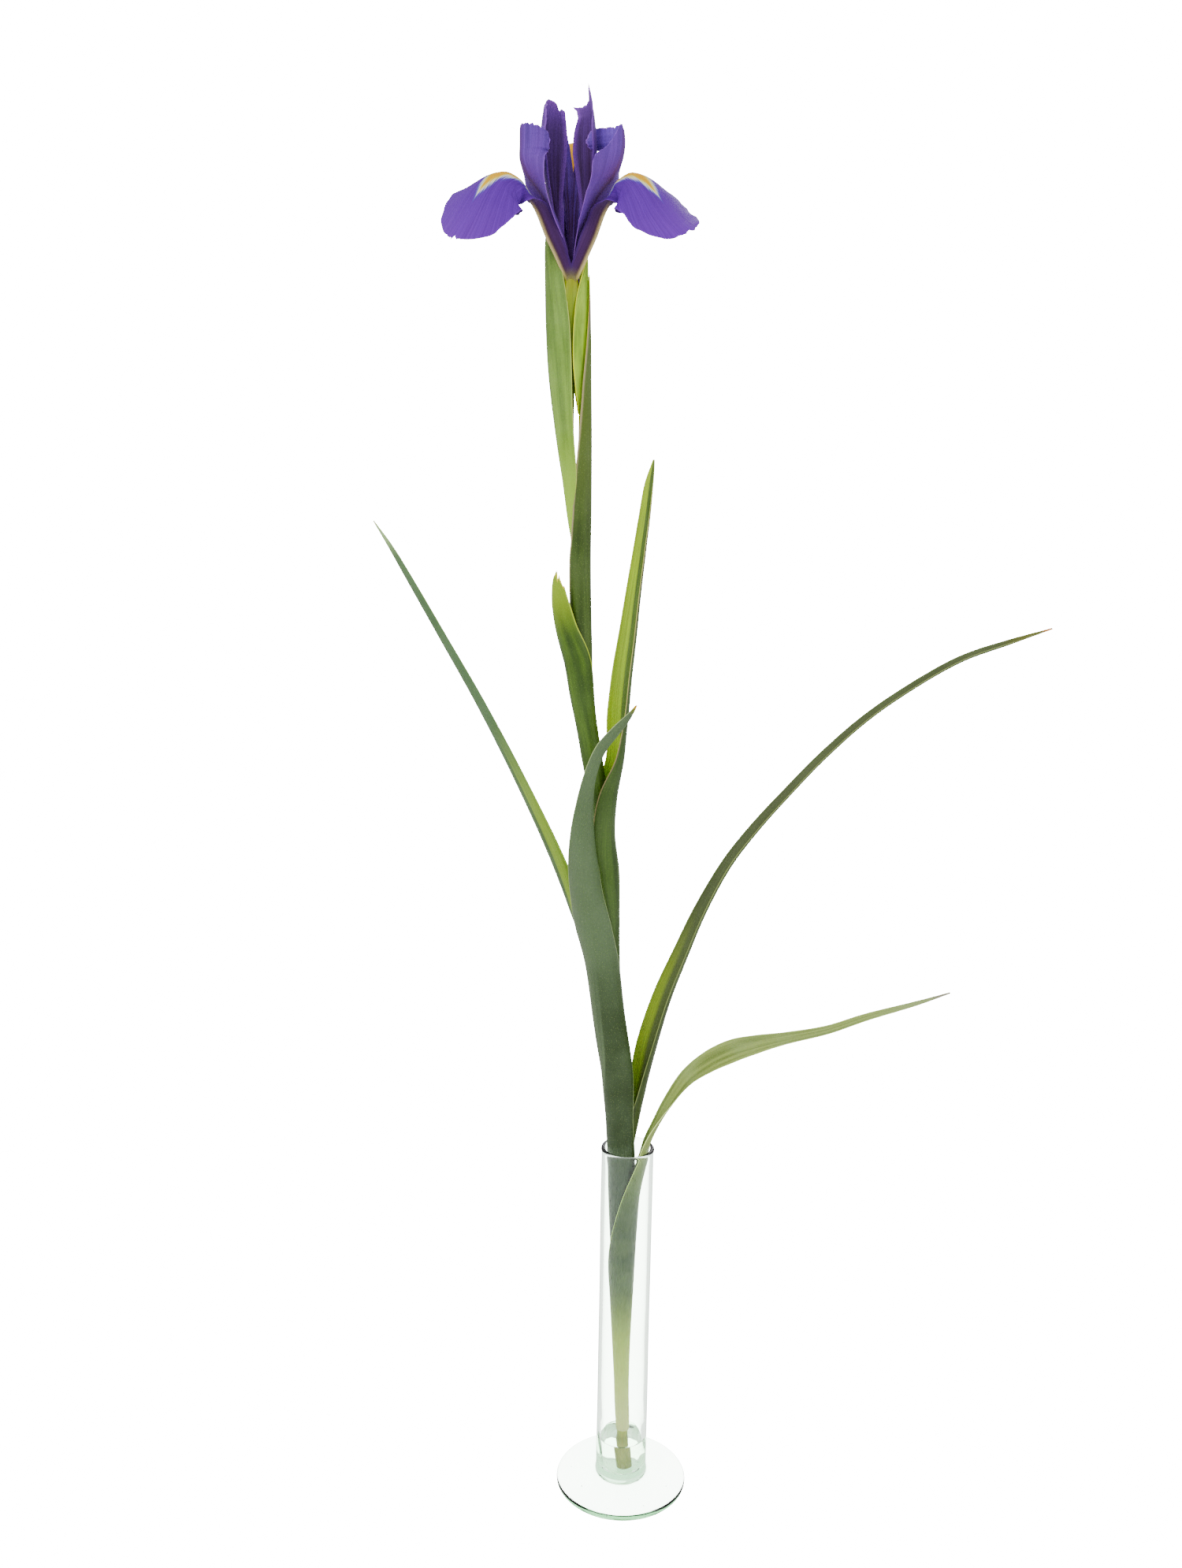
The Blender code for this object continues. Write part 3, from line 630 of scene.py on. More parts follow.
def bow(x, z, radius, start, end, count):
    angles = np.radians(np.linspace(start, end, count))
    return [(x + radius * math.cos(a), z + radius * math.sin(a)) for a in angles]


vaseLook = {
    "height": 160, "footRadius": 28.6, "footEdge": 3, "hub": 6.6, "radius": 11.05, "wall": 1.6,
    "bead": 0.95, "bending": 1.36, "floor": 8, "water": 22, "sides": 160,
    "glass": (0.93, 0.985, 0.93, 1), "depth": (0.40, 0.92, 0.52, 1), "density": 34,
    "bubbles": [(-17.2, -9, 1.6, 0.28), (9.6, -20.5, 1.4, 0.2), (19.8, -8.2, 1.7, 0.24),
                (-6, -22.6, 1.3, 0.16), (3.2, -17.4, 2, 0.18), (-22, 4, 1.5, 0.2)],
}


# a small ball, changed while its mesh is open
def bead(place, radius, segments, rings, change, **settings):
    ball = fresh("bead", bpy.ops.mesh.primitive_uv_sphere_add, segments=segments, ring_count=rings,
                 radius=radius * mm, location=place)
    bpy.ops.object.mode_set(mode="EDIT")
    bpy.ops.mesh.select_all(action="SELECT")
    change(**settings)
    bpy.ops.object.mode_set(mode="OBJECT")
    bpy.ops.object.transform_apply(location=True, rotation=True, scale=True)
    bpy.ops.object.shade_smooth()
    return ball


def joinTo(piece, others):
    bpy.ops.object.select_all(action="DESELECT")
    for other in [*others, piece]:
        other.select_set(True)
    bpy.context.view_layer.objects.active = piece
    bpy.ops.object.join()


def makeVase():
    glass, tree, shader = clearFinish("vaseGlass", vaseLook["glass"], vaseLook["bending"],
                                      vaseLook["depth"], vaseLook["density"])
    stretched = put(tree, "ShaderNodeMapping", {"Vector": objectPlace(tree), "Scale": (1, 1, 0.25)})
    ripples = put(tree, "ShaderNodeTexNoise", {"Vector": stretched.outputs[0], "Scale": 90, "Detail": 2})
    addBump(tree, shader, ripples.outputs["Fac"], 0.0004, 0.25)
    bore = vaseLook["radius"] - vaseLook["wall"]
    top = vaseLook["height"] - vaseLook["bead"]
    half = vaseLook["footEdge"] / 2
    fillet = 2.2
    outline = [(0, vaseLook["floor"])]
    outline += [(bore * k / 8, vaseLook["floor"]) for k in range(1, 6)]
    outline += bow(bore - 3, vaseLook["floor"] + 3, 3, -90, 0, 10)
    outline += [(bore, z) for z in np.linspace(13, top - 4, 46)]
    outline += bow(bore + vaseLook["bead"], top, vaseLook["bead"], 180, 0, 16)
    outline += [(vaseLook["radius"], z) for z in np.linspace(top - 1.2, 14, 50)]
    outline += bow(vaseLook["radius"] + fillet, vaseLook["hub"] + fillet - 1.2, fillet, 180, 262, 10)
    outline += [(17, 4.7), (20, 3.9), (23, 3.4)]
    outline += bow(vaseLook["footRadius"] - half, half, half, 80, -90, 14)
    outline += [(20, 0), (12, 0), (6, 0), (0, 0)]
    vase = spinPiece("bud_vase", outline, vaseLook["sides"], glass, "vase")
    # hand-blown: the walls wander a little, most of all low down where the foot was fused on
    for vertex in vase.data.vertices:
        radius = math.hypot(vertex.co.x, vertex.co.y) / mm
        height = vertex.co.z / mm
        if radius < 6 or radius > 12.5 or height < 8.5:
            continue
        turn = math.atan2(vertex.co.y, vertex.co.x)
        low = math.exp(-((height - 12) / 22) ** 2)
        drift = 0.05 * math.sin(2 * turn + height * 0.06) + 0.03 * math.sin(3 * turn - height * 0.11)
        if radius < 10.2:
            drift += low * (0.20 * math.sin(5 * turn + 1) + 0.12 * math.sin(9 * turn + height * 0.3))
        scale = 1 + drift / radius
        vertex.co.x *= scale
        vertex.co.y *= scale
    # small bubbles caught in the foot
    bubbles = [bead(Vector((x, y, z)) * mm, radius, 16, 10, bpy.ops.mesh.flip_normals)
               for x, y, z, radius in vaseLook["bubbles"]]
    joinTo(vase, bubbles)
    print("vase blown")


def makeWater():
    clear, tree, shader = clearFinish("stillWater", (0.95, 0.99, 0.93, 1), 1.333)
    bore = vaseLook["radius"] - vaseLook["wall"] + 0.12
    low = vaseLook["floor"] - 0.03
    level = vaseLook["water"]
    outline = [(0, low)]
    outline += bow(bore - 3, low + 3, 3, -90, 0, 8)
    outline += [(bore, 15), (bore, level + 0.7), (bore - 0.35, level + 0.35), (bore - 1, level + 0.1),
                (bore - 2, level), (5, level), (2.9, level + 0.2), (2.2, level + 0.5), (0, level + 0.5)]
    spinPiece("vase_water", outline, 96, clear, "water")
    print("water poured")


def makeStem():
    finish, tree, shader = newFinish("stemSkin", 0.42, 0.12, (0.6, 1, 0.2))
    ribs = useGroup(tree, streaks, {"Vector": growthPlace(tree), "Across": 44, "Along": 10, "Seed": 2})
    spots = useGroup(tree, mottle, {"Size": 90, "Dots": 1500})
    height = put(tree, "ShaderNodeSeparateXYZ", {0: objectPlace(tree)}).outputs[2]
    share = put(tree, "ShaderNodeMapRange", {"Value": height, "From Min": 0, "From Max": 0.42}).outputs[0]
    colour = ramp(tree, share, [(0.02, (230, 234, 172)), (0.10, (220, 228, 152)),
                                (0.15, (204, 214, 130)), (0.21, (130, 150, 70)), (0.32, (76, 104, 48)),
                                (0.60, (66, 98, 44)), (0.90, (96, 130, 52)), (1, (150, 170, 66))])
    colour = touch(tree, ribs["Fine"], 0.3, scaled(tree, colour, 1.35), (52, 78, 36))
    colour = touch(tree, spots["Cloud"], 0.2, colour, (150, 168, 120))
    tree.links.new(colour, shader.inputs["Base Color"])
    addBump(tree, shader, ribs["Fine"], 0.00014, 0.6)
    heights = [8.4, 24, 40, 60, 80, 100, 120, 140, 160, 180, 200, 220, 245, 265, 284, 300, 320, 336, 352,
               372, 399, 414]
    radii = [stemLook["radius"] - 0.1] * 3 + [stemLook["radius"]] * (len(heights) - 3)
    look = {"sides": 36, "rings": 330, "ribs": 14, "ribDepth": 0.018, "nodes": stemLook["nodes"],
            "swelling": stemLook["swelling"]}
    growRod("flower_stem", [stemPlace(z) for z in heights], radii, look, finish, "stem")

    skin, tree, shader = newFinish("ovarySkin", 0.45, 0.2, (0.7, 1, 0.2))
    ribs = useGroup(tree, streaks, {"Vector": growthPlace(tree), "Across": 26, "Along": 4, "Seed": 7})
    colour = ramp(tree, measure(tree, "along"), [(0, (110, 136, 50)), (0.45, (120, 146, 48)),
                                (0.72, (170, 184, 60)), (0.92, (186, 186, 66)),
                                (1, (140, 130, 60))])
    colour = touch(tree, ribs["Fine"], 0.3, colour, (110, 132, 40))
    tree.links.new(colour, shader.inputs["Base Color"])
    addBump(tree, shader, ribs["Fine"], 0.0001, 0.5)
    places = [(-24.3, 414.4), (-25.6, 426), (-27.4, 445), (-28.3, 462), (-28.5, 480), (-28.5, 494),
              (-28.4, 502), (-28.3, 507), (-28.2, 511.5), (-28.2, 515)]
    radii = [1.3, 1.3, 1.3, 1.7, 2.2, 2.6, 3.2, 3.3, 2.4, 0.9]
    look = {"sides": 30, "rings": 110, "lobes": (0.10, 0.62, 0.2)}
    growRod("flower_ovary", [(x, 0, z) for x, z in places], radii, look, skin, "ovary")
    print("stem and ovary grown")


valveRows = strip([
    (405, 2.95, 180, 110), (413, 3, 180, 94)
], [
    (-28.4, 0.2, 422, 9.2, 78, 180), (-30.6, 0, 437, 15.5, 98, 184), (-33, 0, 452, 17.5, 98, 192),
    (-36, 0.5, 475, 20, 95, 197), (-37.4, 1.5, 495, 19, 90, 195), (-38, 3.5, 512, 15, 80, 190),
    (-38.2, 5.5, 525, 9.5, 70, 185), (-36.6, 6.5, 537, 2, 40, 180)
])
partnerRows = strip([

], [
    (-24.6, 0, 462, 2, 60, 10), (-23.4, 0, 471, 9.5, 92, 5), (-22.3, 0.4, 484, 14.2, 108, 0),
    (-21.9, 1.2, 500, 14.2, 100, 0), (-22, 2.8, 512, 10, 80, 10), (-22.5, 4.2, 522, 2, 40, 20)
])
stemBractRows = strip([
    (347, 3.1, 15, 165), (353, 3.35, 15, 165), (366, 4.1, 15, 168), (392, 4.15, 12, 168),
    (408, 4.2, 4, 158), (417, 4.3, -4, 126)
], [
    (-19.5, -0.3, 427, 16.2, 106, -4), (-19.6, 0, 439, 15.6, 106, 0), (-19.8, 0.8, 454, 14.2, 100, 4),
    (-20.2, 0.8, 471, 12.4, 88, 8), (-20.6, 0.8, 488, 8.4, 66, 10), (-21.4, 0.8, 513, 0.9, 30, 12)
])


def makeBracts():
    sheet = {"lengths": 150, "widths": 32, "thickness": 0.5, "thinEdge": 0.3, "taper": 2}
    valveOuter = leafFinish("valveOuter", {
        "tones": [(98, 128, 56), (136, 162, 82), (78, 108, 46), (156, 176, 120), (178, 186, 120)],
        "rimWidth": 0.5, "veins": 40, "dots": 1500, "dotStrength": 0.14, "dotTone": (190, 204, 160),
        "seed": 3, "gain": 1.75, "bands": [(62, 20, (152, 176, 84))], "tips": [(6, (150, 160, 90))]})
    valveInner = leafFinish("valveInner", {
        "tones": [(150, 172, 84), (176, 192, 104), (120, 146, 64), (176, 190, 120), (196, 202, 140)],
        "veins": 40})
    growSheet("spathe_outer_valve", valveRows,
        {**sheet, "sway": 0.15, "minusHalf": [(0, 1, 1), (0.45, 1, 1), (0.6, 1.3, 1.3), (1, 1.3, 1.3)],
            "plusHalf": [(0, 1, 1), (0.5, 1, 1), (0.65, 1.16, 1), (0.78, 1.26, 1), (0.9, 1.26, 1),
                         (1, 1, 1)]},
        valveInner, valveOuter, "spathe_outer")
    partnerOuter = leafFinish("partnerOuter", {
        "tones": [(128, 158, 60), (166, 188, 84), (104, 136, 48), (176, 192, 110), (206, 208, 90)],
        "veins": 30, "seed": 5, "tips": [(8, (190, 196, 90))]})
    growSheet("spathe_inner_valve", partnerRows, {**sheet, "lengths": 90, "widths": 24, "sway": 0.15},
        partnerOuter, partnerOuter, "spathe_inner")
    bractOuter = leafFinish("stemBractOuter", {
        "tones": [(62, 84, 36), (88, 112, 50), (48, 68, 30), (112, 126, 84), (168, 158, 132)],
        "rimWidth": 1.1, "veins": 36, "seed": 8, "dotStrength": 0.15, "tips": [(14, (128, 112, 100))],
        "bands": [(60, 110, (96, 116, 48))]})
    bractInner = leafFinish("stemBractInner", {
        "tones": [(160, 176, 50), (196, 204, 60), (120, 140, 40), (180, 186, 90), (206, 198, 90)],
        "veins": 36})
    growSheet("sheathing_bract", stemBractRows, {**sheet, "sway": 0.1,
            "minusHalf": [(0, 1, 1), (0.4, 1, 1), (0.55, 1.17, 1.17), (0.8, 1, 1), (1, 1, 1)]}, bractInner,
        bractOuter, "stem_bract")
    print("bracts grown")


brokenRows = strip([
    (288, 2.95, 200, 165), (306, 3.3, 200, 165), (324, 3.95, 200, 165), (340, 4.1, 200, 163),
    (354, 4.95, 200, 148, -0.25), (366, 5.8, 203, 122, -0.9, -0.3)
], [
    (-31.8, -2.6, 379, 18.6, 84, 208), (-33.3, -2.8, 389, 14.5, 72, 212), (-33.3, -3.2, 396, 10, 60, 215),
    (-32.4, -3.5, 403, 4, 40, 218)
])
uprightRows = strip([
    (186, 2.95, 20, 160), (215, 3.2, 20, 160), (245, 3.8, 20, 160), (264, 4.2, 14, 152),
    (281, 4.9, 0, 158, -0.4, -0.3)
], [
    (-8, -0.9, 297, 25, 122, 0), (-7.4, -0.6, 312, 23, 112, 5), (-5.2, 1, 328, 16.8, 88, 20),
    (-4.8, 2.6, 345, 16, 84, 40), (-3.7, 3, 362, 14.5, 84, 44), (-2.1, 3, 378, 12.5, 84, 46),
    (-0.6, 3, 394, 10.5, 82, 46), (1, 3, 409, 9, 80, 46), (2.6, 3, 424, 7.5, 75, 46),
    (3.6, 2.6, 436, 5.5, 65, 46), (4.5, 2, 445.5, 0.9, 30, 46)
])
frontRows = strip([
    (92, 2.95, 200, 165), (103, 3.6, 199, 165), (118, 4.6, 198, 165), (136, 5.3, 197, 160),
    (156, 5.9, 197, 140, 0.1), (172, 6.4, 197, 124, 0.3), (186, 6.8, 207, 122, 0.2),
    (202, 6.8, 234, 112, -0.7, -0.3), (220, 6.7, 244, 110, -1.9, -0.6)
], [
    (-14.4, -8.4, 241, 23.5, 88, 250, 0, 1.2), (-17, -9.8, 258, 20.5, 64, 261, 0, 1.6),
    (-19.2, -10.8, 272, 19, 62, 268, 0, 2.2), (-20.1, -11.6, 285, 18, 62, 275, 0, 2.6),
    (-20, -12.2, 298, 14.5, 60, 284, 0, 2.6), (-18.8, -12.4, 310, 11.5, 60, 298, 0, 2.6),
    (-16.6, -12.4, 323, 9, 60, 315, 0, 2.6), (-13, -12.2, 333, 8, 60, 318, 0, 2.6),
    (-8, -12, 340, 6.5, 60, 315, 0, 2.6), (-3.8, -12, 345.5, 4.5, 60, 315, 0, 2),
    (-0.5, -12, 351.5, 0.9, 30, 315, 0, 1)
])
leftRows = strip([
    (147, 3.05, 180, 165), (168, 3.05, 180, 165), (186, 3.9, 178, 162), (204, 4.2, 174, 150, -0.4, 0.1)
], [
    (-12.6, 0.9, 220, 22, 128, 170), (-16.2, 2.4, 238, 19, 105, 168), (-20.4, 3.4, 250, 17, 92, 176, -5),
    (-24.9, 2.6, 261, 16, 84, 190, -10), (-29.6, 1, 275, 14.5, 80, 204, -15),
    (-35.4, 0.6, 290, 12.5, 76, 212, -20), (-43.6, 2, 308, 10.5, 74, 216, -25),
    (-54.6, 4.6, 330, 9, 72, 218, -28), (-66, 7.8, 351, 8, 68, 218, -30),
    (-78.6, 11.2, 372.5, 7, 65, 218, -30), (-90.6, 14.4, 393, 6, 62, 218, -30),
    (-100, 17, 409, 4.2, 60, 218, -30), (-106.9, 19, 420, 0.9, 30, 218, -30)
])
longRightRows = strip([
    (121, 2.95, 10, 165), (134, 3.1, 10, 165), (146, 3.9, 10, 160), (158, 4.4, 10, 126, 0.2, 0.2)
], [
    (4, 1.7, 170, 16.5, 103, 12, -4), (5.9, 3.2, 181, 15.4, 94, 20, -8), (9.8, 4.4, 202, 16.8, 84, 30, -14),
    (15.6, 5.8, 224, 15, 80, 32, -20), (22.6, 7.2, 243, 12.6, 78, 32, -26),
    (30.2, 8.6, 262, 10.6, 75, 30, -32), (40, 10, 281, 9, 75, 28, -38), (50.9, 12, 296, 8, 72, 30, -42),
    (63.8, 15, 310.5, 7.2, 70, 30, -42), (78.6, 18, 326, 6.8, 70, 30, -46),
    (95.8, 21, 341.5, 6.4, 68, 30, -50), (115.2, 24, 355, 6.2, 66, 30, -55),
    (134.8, 27, 366, 6, 64, 30, -60), (154, 29, 373, 5.2, 60, 30, -65), (172.5, 30, 379.8, 1.4, 30, 30, -65)
])
lowRightRows = strip([
    (26, 2.8, 0, 165), (50, 3.2, -2, 165), (70, 3.9, -4, 165), (90, 4.9, -6, 165), (104, 5.6, -8, 158),
    (120, 6.15, -8, 128, 0.3)
], [
    (5.4, -0.8, 138, 21, 92, -8), (8, -0.9, 153, 14.5, 72, -8), (9.3, -1, 161.5, 11, 66, -5, -5),
    (12.4, -1.6, 170, 9.5, 60, 0, -15), (17.4, -3, 181, 9, 50, 20, -30), (24.5, -5, 193, 9.5, 45, 50, -45),
    (33, -8, 201.5, 11, 40, 75, -50), (42, -11, 207.5, 11.5, 35, 85, -50),
    (51.5, -14, 211.7, 10, 35, 90, -55), (63.5, -18, 216.5, 7, 35, 95, -60),
    (78.6, -22, 222, 5, 35, 95, -60), (93.5, -25, 229, 4, 35, 95, -60), (111.3, -28, 236, 2.5, 35, 95, -60),
    (124.8, -30, 241.8, 0.7, 30, 95, -60)
])


def makeLeaves():
    sheet = {"lengths": 260, "widths": 28, "thickness": 0.5, "thinEdge": 0.35, "taper": 1.6, "sway": 0.12}
    limeInner = leafFinish("leafInnerLime", {
        "tones": [(150, 172, 36), (188, 204, 56), (112, 142, 30), (170, 190, 90), (214, 218, 110)],
        "veins": 30, "seed": 11})
    greenInner = leafFinish("leafInnerGreen", {
        "tones": [(92, 124, 52), (128, 156, 72), (70, 100, 42), (140, 164, 110), (176, 192, 130)],
        "veins": 30, "seed": 12})

    brokenOuter = leafFinish("brokenLeafOuter", {
        "tones": [(64, 92, 34), (94, 124, 46), (50, 76, 28), (116, 140, 84), (178, 190, 96)],
        "rimWidth": 0.7, "veins": 34, "seed": 13, "bands": [(88, 112, (150, 170, 48))],
        "tips": [(3, (206, 196, 110))]})
    growSheet("leaf_torn", brokenRows, {**sheet, "lengths": 160, "widths": 44, "jag": 0.008, "jagWaves": 26,
            "outline": [(-1, 0.93), (-0.7, 0.955), (-0.45, 0.94), (-0.25, 0.99), (-0.1, 0.965), (0.1, 1),
                        (0.3, 0.94), (0.55, 0.97), (0.8, 0.92), (1, 0.90)]},
        greenInner, brokenOuter, "leaf_broken")

    uprightOuter = leafFinish("uprightLeafOuter", {
        "tones": [(58, 84, 36), (88, 116, 52), (44, 68, 28), (112, 130, 88), (160, 146, 116)],
        "rimWidth": 0.7, "veins": 34, "seed": 14, "tips": [(16, (116, 140, 70)), (3, (150, 150, 96))]})
    uprightInner = leafFinish("leafInnerUpright", {
        "tones": [(88, 112, 56), (112, 134, 72), (70, 94, 40), (130, 146, 100), (190, 196, 130)],
        "veins": 30, "seed": 11.5, "side": (0.62, 0.03, (176, 192, 84))})
    growSheet("leaf_upright_open", uprightRows, sheet, uprightInner, uprightOuter,
        "leaf_upright")

    frontOuter = leafFinish("frontLeafOuter", {
        "tones": [(88, 106, 74), (114, 132, 98), (66, 86, 54), (128, 146, 116), (176, 186, 150)],
        "rimWidth": 0.5, "veins": 44, "seed": 15, "dotStrength": 0.18, "gain": 1.3,
        # one half turns a darker green at the keel: a painted shade on the half of the fold turned from the
        # light
        "side": (0.5, 0.012, (68, 88, 50)), "bands": [(120, 176, (104, 124, 90))],
        # with height: darker from 205 mm down to the rim, then almost black in the vase's tube, a painted
        # shade there
        "heights": [(205, 165, (60, 80, 44)), (170, 130, (32, 50, 20))],
        "tips": [(10, (140, 146, 70)), (4.5, (206, 178, 60))]})
    growSheet("leaf_front_curl", frontRows, {**sheet, "widths": 36}, greenInner, frontOuter,
        "leaf_front")

    leftOuter = leafFinish("leftLeafOuter", {
        "tones": [(74, 98, 56), (102, 126, 80), (58, 80, 44), (126, 148, 116), (176, 190, 150)],
        "rimWidth": 0.4, "veins": 26, "seed": 16, "gain": 1.9, "side": (0.66, 0.04, (140, 160, 70)),
        "bands": [(160, 210, (84, 110, 76))], "tips": [(26, (150, 168, 130)), (4, (196, 200, 170))]})
    growSheet("leaf_reaching_left", leftRows, sheet, limeInner, leftOuter, "leaf_left")

    longOuter = leafFinish("longLeafOuter", {
        "tones": [(74, 92, 46), (104, 122, 66), (58, 76, 36), (132, 144, 104), (168, 176, 130)],
        "rimWidth": 0.4, "veins": 26, "seed": 17, "gain": 1.25,
        "tips": [(24, (128, 132, 60)), (5, (204, 150, 50))]})
    longInner = leafFinish("longLeafInner", {
        "tones": [(100, 114, 68), (120, 132, 84), (84, 98, 54), (134, 144, 106), (150, 158, 110)],
        "veins": 26, "seed": 18, "gain": 1.2, "side": (0.72, 0.08, (176, 192, 60)),
        "bands": [(95, 150, (104, 116, 76))], "tips": [(24, (128, 132, 60)), (5, (204, 150, 50))]})
    growSheet("leaf_arching_right", longRightRows, {**sheet, "lengths": 320}, longInner, longOuter,
        "leaf_long_right")

    lowLook = {
        "rimWidth": 0.5, "veins": 30, "dotStrength": 0.2, "gain": 1.9,
        # with height: darker from 172 mm down into the vase's upper tube, a painted shade; lower down the
        # leaf's own pale base, whitish in the water
        "heights": [(172, 130, (48, 68, 30)), (100, 52, (190, 198, 128)), (60, 26, (216, 224, 172))],
        "tips": [(30, (150, 160, 120)), (10, (150, 146, 134))]}
    lowOuter = leafFinish("lowLeafOuter", {
        **lowLook, "seed": 19,
        "tones": [(126, 140, 82), (160, 170, 112), (104, 120, 66), (160, 174, 136), (196, 206, 160)]})
    lowInner = leafFinish("lowLeafInner", {
        **lowLook, "seed": 20,
        "tones": [(122, 136, 76), (156, 166, 108), (98, 114, 60), (158, 172, 134), (196, 206, 160)]})
    growSheet("leaf_low_over_rim", lowRightRows, {**sheet, "lengths": 320}, lowInner, lowOuter,
        "leaf_low_right")
    print("leaves grown")


fallStations = {
    "left": [
        (1.4, -3, 4.2, 60, 0), (6.7, 6.9, 6.5, 75, 0), (10.6, 13.6, 10, 88, 0), (14.7, 22, 12, 66, 0),
        (19.4, 29.4, 20, -80, -10, 3), (22.8, 33, 30, -80, -18, 2.4), (27.2, 34.2, 33, -84, -20),
        (32.4, 32, 34, -58, -28), (37, 27, 33, -34, -32), (41, 20.8, 31, -24, -32),
        (44.8, 14.6, 24, -18, -30), (48.6, 9.2, 5, -12, -30)],
    "right": [
        (1.4, -3, 4.2, 60, 0), (6.6, 6.9, 6.5, 75, 0), (10.2, 13.8, 10, 88, 0), (13.4, 21.6, 12, 66, 0),
        (17.4, 29.4, 20, -80, 10, 3), (20.2, 33.2, 29, -80, 18, 2.4), (24.2, 34.8, 31, -84, 20),
        (29, 32.6, 32, -56, 26), (34, 27.6, 31, -36, 28), (38.6, 22, 31, -26, 28), (43.4, 17, 26, -18, 26),
        (48.2, 13.2, 12, -12, 26)],
    "back": [
        (1.4, -3, 4.2, 60, 0), (5.4, 8.2, 6.5, 75, 0), (8.9, 17, 9.5, 85, 0), (14.2, 30.6, 13, 70, 0),
        (18.2, 41.2, 18, -80, 0, 3), (22.2, 49, 26, -86, 0, 2.6), (26.6, 52.4, 31, -80, 0),
        (32, 49.6, 31, -70, 0), (36.6, 43.2, 30, -58, 0), (40.2, 35.4, 27, -46, 0), (43, 27, 18, -34, 0),
        (45, 19.6, 3, -20, 0)],
}
styleStations = {
    "left": [
        (0.9, 0.7, 1, -20, 0), (1.2, 6.5, 3.2, -60, 0), (3.2, 13.2, 6, -66, 0), (7.4, 20.8, 9.4, -60, 0),
        (12.8, 28.4, 13, -26, 0), (18, 34, 16, 30, 0, 1.3), (20.8, 39.4, 20, 72, 0, 1.8),
        (21, 45, 22, 84, 0, 2.4), (21, 51.5, 23, 86, 0, 2.4)],
    "right": [
        (0.9, 0.7, 1, -20, 0), (1, 6.5, 3.2, -60, 0), (2.4, 13.2, 5, -66, 0), (6, 20.8, 8.6, -60, 0),
        (10.6, 28.2, 13.4, -26, 0), (16, 34, 18, 24, 0, 1.3), (19.6, 39.8, 22, 72, 0, 1.8),
        (20.8, 45.4, 24, 84, 0, 2.4), (20.6, 53.2, 24, 86, 0, 2.4)],
    "back": [
        (0.9, 0.7, 1, -20, 0), (1.2, 7.5, 3.2, -60, 0), (2.8, 15.6, 5, -66, 0), (5.2, 24.4, 7.6, -60, 0),
        (8.4, 33, 12.4, -52, 0), (12.8, 40.4, 15, 46, 0), (15.8, 46.4, 17, 66, 0, 1.6),
        (16.8, 50.4, 17, 80, 0, 2.2), (17, 54, 16, 80, 0, 2.2)],
}
standardStations = {
    "left": [
        (2.6, 0.5, 2, 30, 0), (5, 12, 3.6, 45, 0), (8, 24, 8, 60, 0), (10.6, 35, 15, 65, 0),
        (12, 45, 20, 66, 0), (12, 54, 20, 66, 0), (11, 60, 17, 62, 0), (9.8, 63, 14, 55, 0)],
    "right": [
        (2.6, 0.5, 2, 30, 0), (5.4, 12, 3.6, 45, 0), (7.2, 24, 8, 60, 0), (8.6, 35, 14, 65, 0),
        (9, 45, 18, 66, 0), (8.2, 53, 18, 64, 0), (7.2, 59, 14, 52, 0), (6.4, 64, 11, 40, 0),
        (5.8, 68.5, 8, 30, 0)],
}
crestOutline = {
    "left": [
        (-1, 0.97), (-0.8, 1), (-0.16, 0.995), (-0.10, 0.88), (-0.04, 0.99), (0.2, 0.995), (0.5, 0.985),
        (0.8, 0.97), (0.93, 0.95), (1, 0.88)],
    "right": [
        (-1, 0.63), (-0.85, 0.71), (-0.6, 0.81), (-0.35, 0.91), (-0.15, 0.975), (-0.05, 0.975),
        (0.03, 0.93), (0.08, 0.80), (0.13, 0.93), (0.3, 0.99), (0.7, 1), (0.9, 0.99), (1, 0.95)],
    "back": [
        (-1, 0.9), (-0.7, 0.98), (-0.4, 1), (-0.2, 0.82), (0, 0.60), (0.2, 0.84), (0.4, 1), (0.7, 0.98),
        (1, 0.9)],
}
standardOutline = {
    "left": [
        (-1, 0.91), (-0.85, 0.925), (-0.78, 0.915), (-0.7, 0.87), (-0.62, 0.94), (-0.5, 0.985), (-0.1, 1),
        (0.25, 0.995), (0.6, 0.96), (1, 0.88)],
    "right": [
        (-1, 0.66), (-0.75, 0.76), (-0.5, 0.86), (-0.3, 0.955), (-0.2, 1), (-0.1, 0.94), (0.02, 0.84),
        (0.2, 0.81), (0.6, 0.80), (0.9, 0.815), (1, 0.83)],
}
signalLine = [(0, 0.2), (0.2, 0.8), (0.33, 1.8), (0.44, 2.6), (0.52, 2.6), (0.6, 1.9), (0.66, 1),
              (0.71, 0), (0.76, -1.6), (1, -8)]


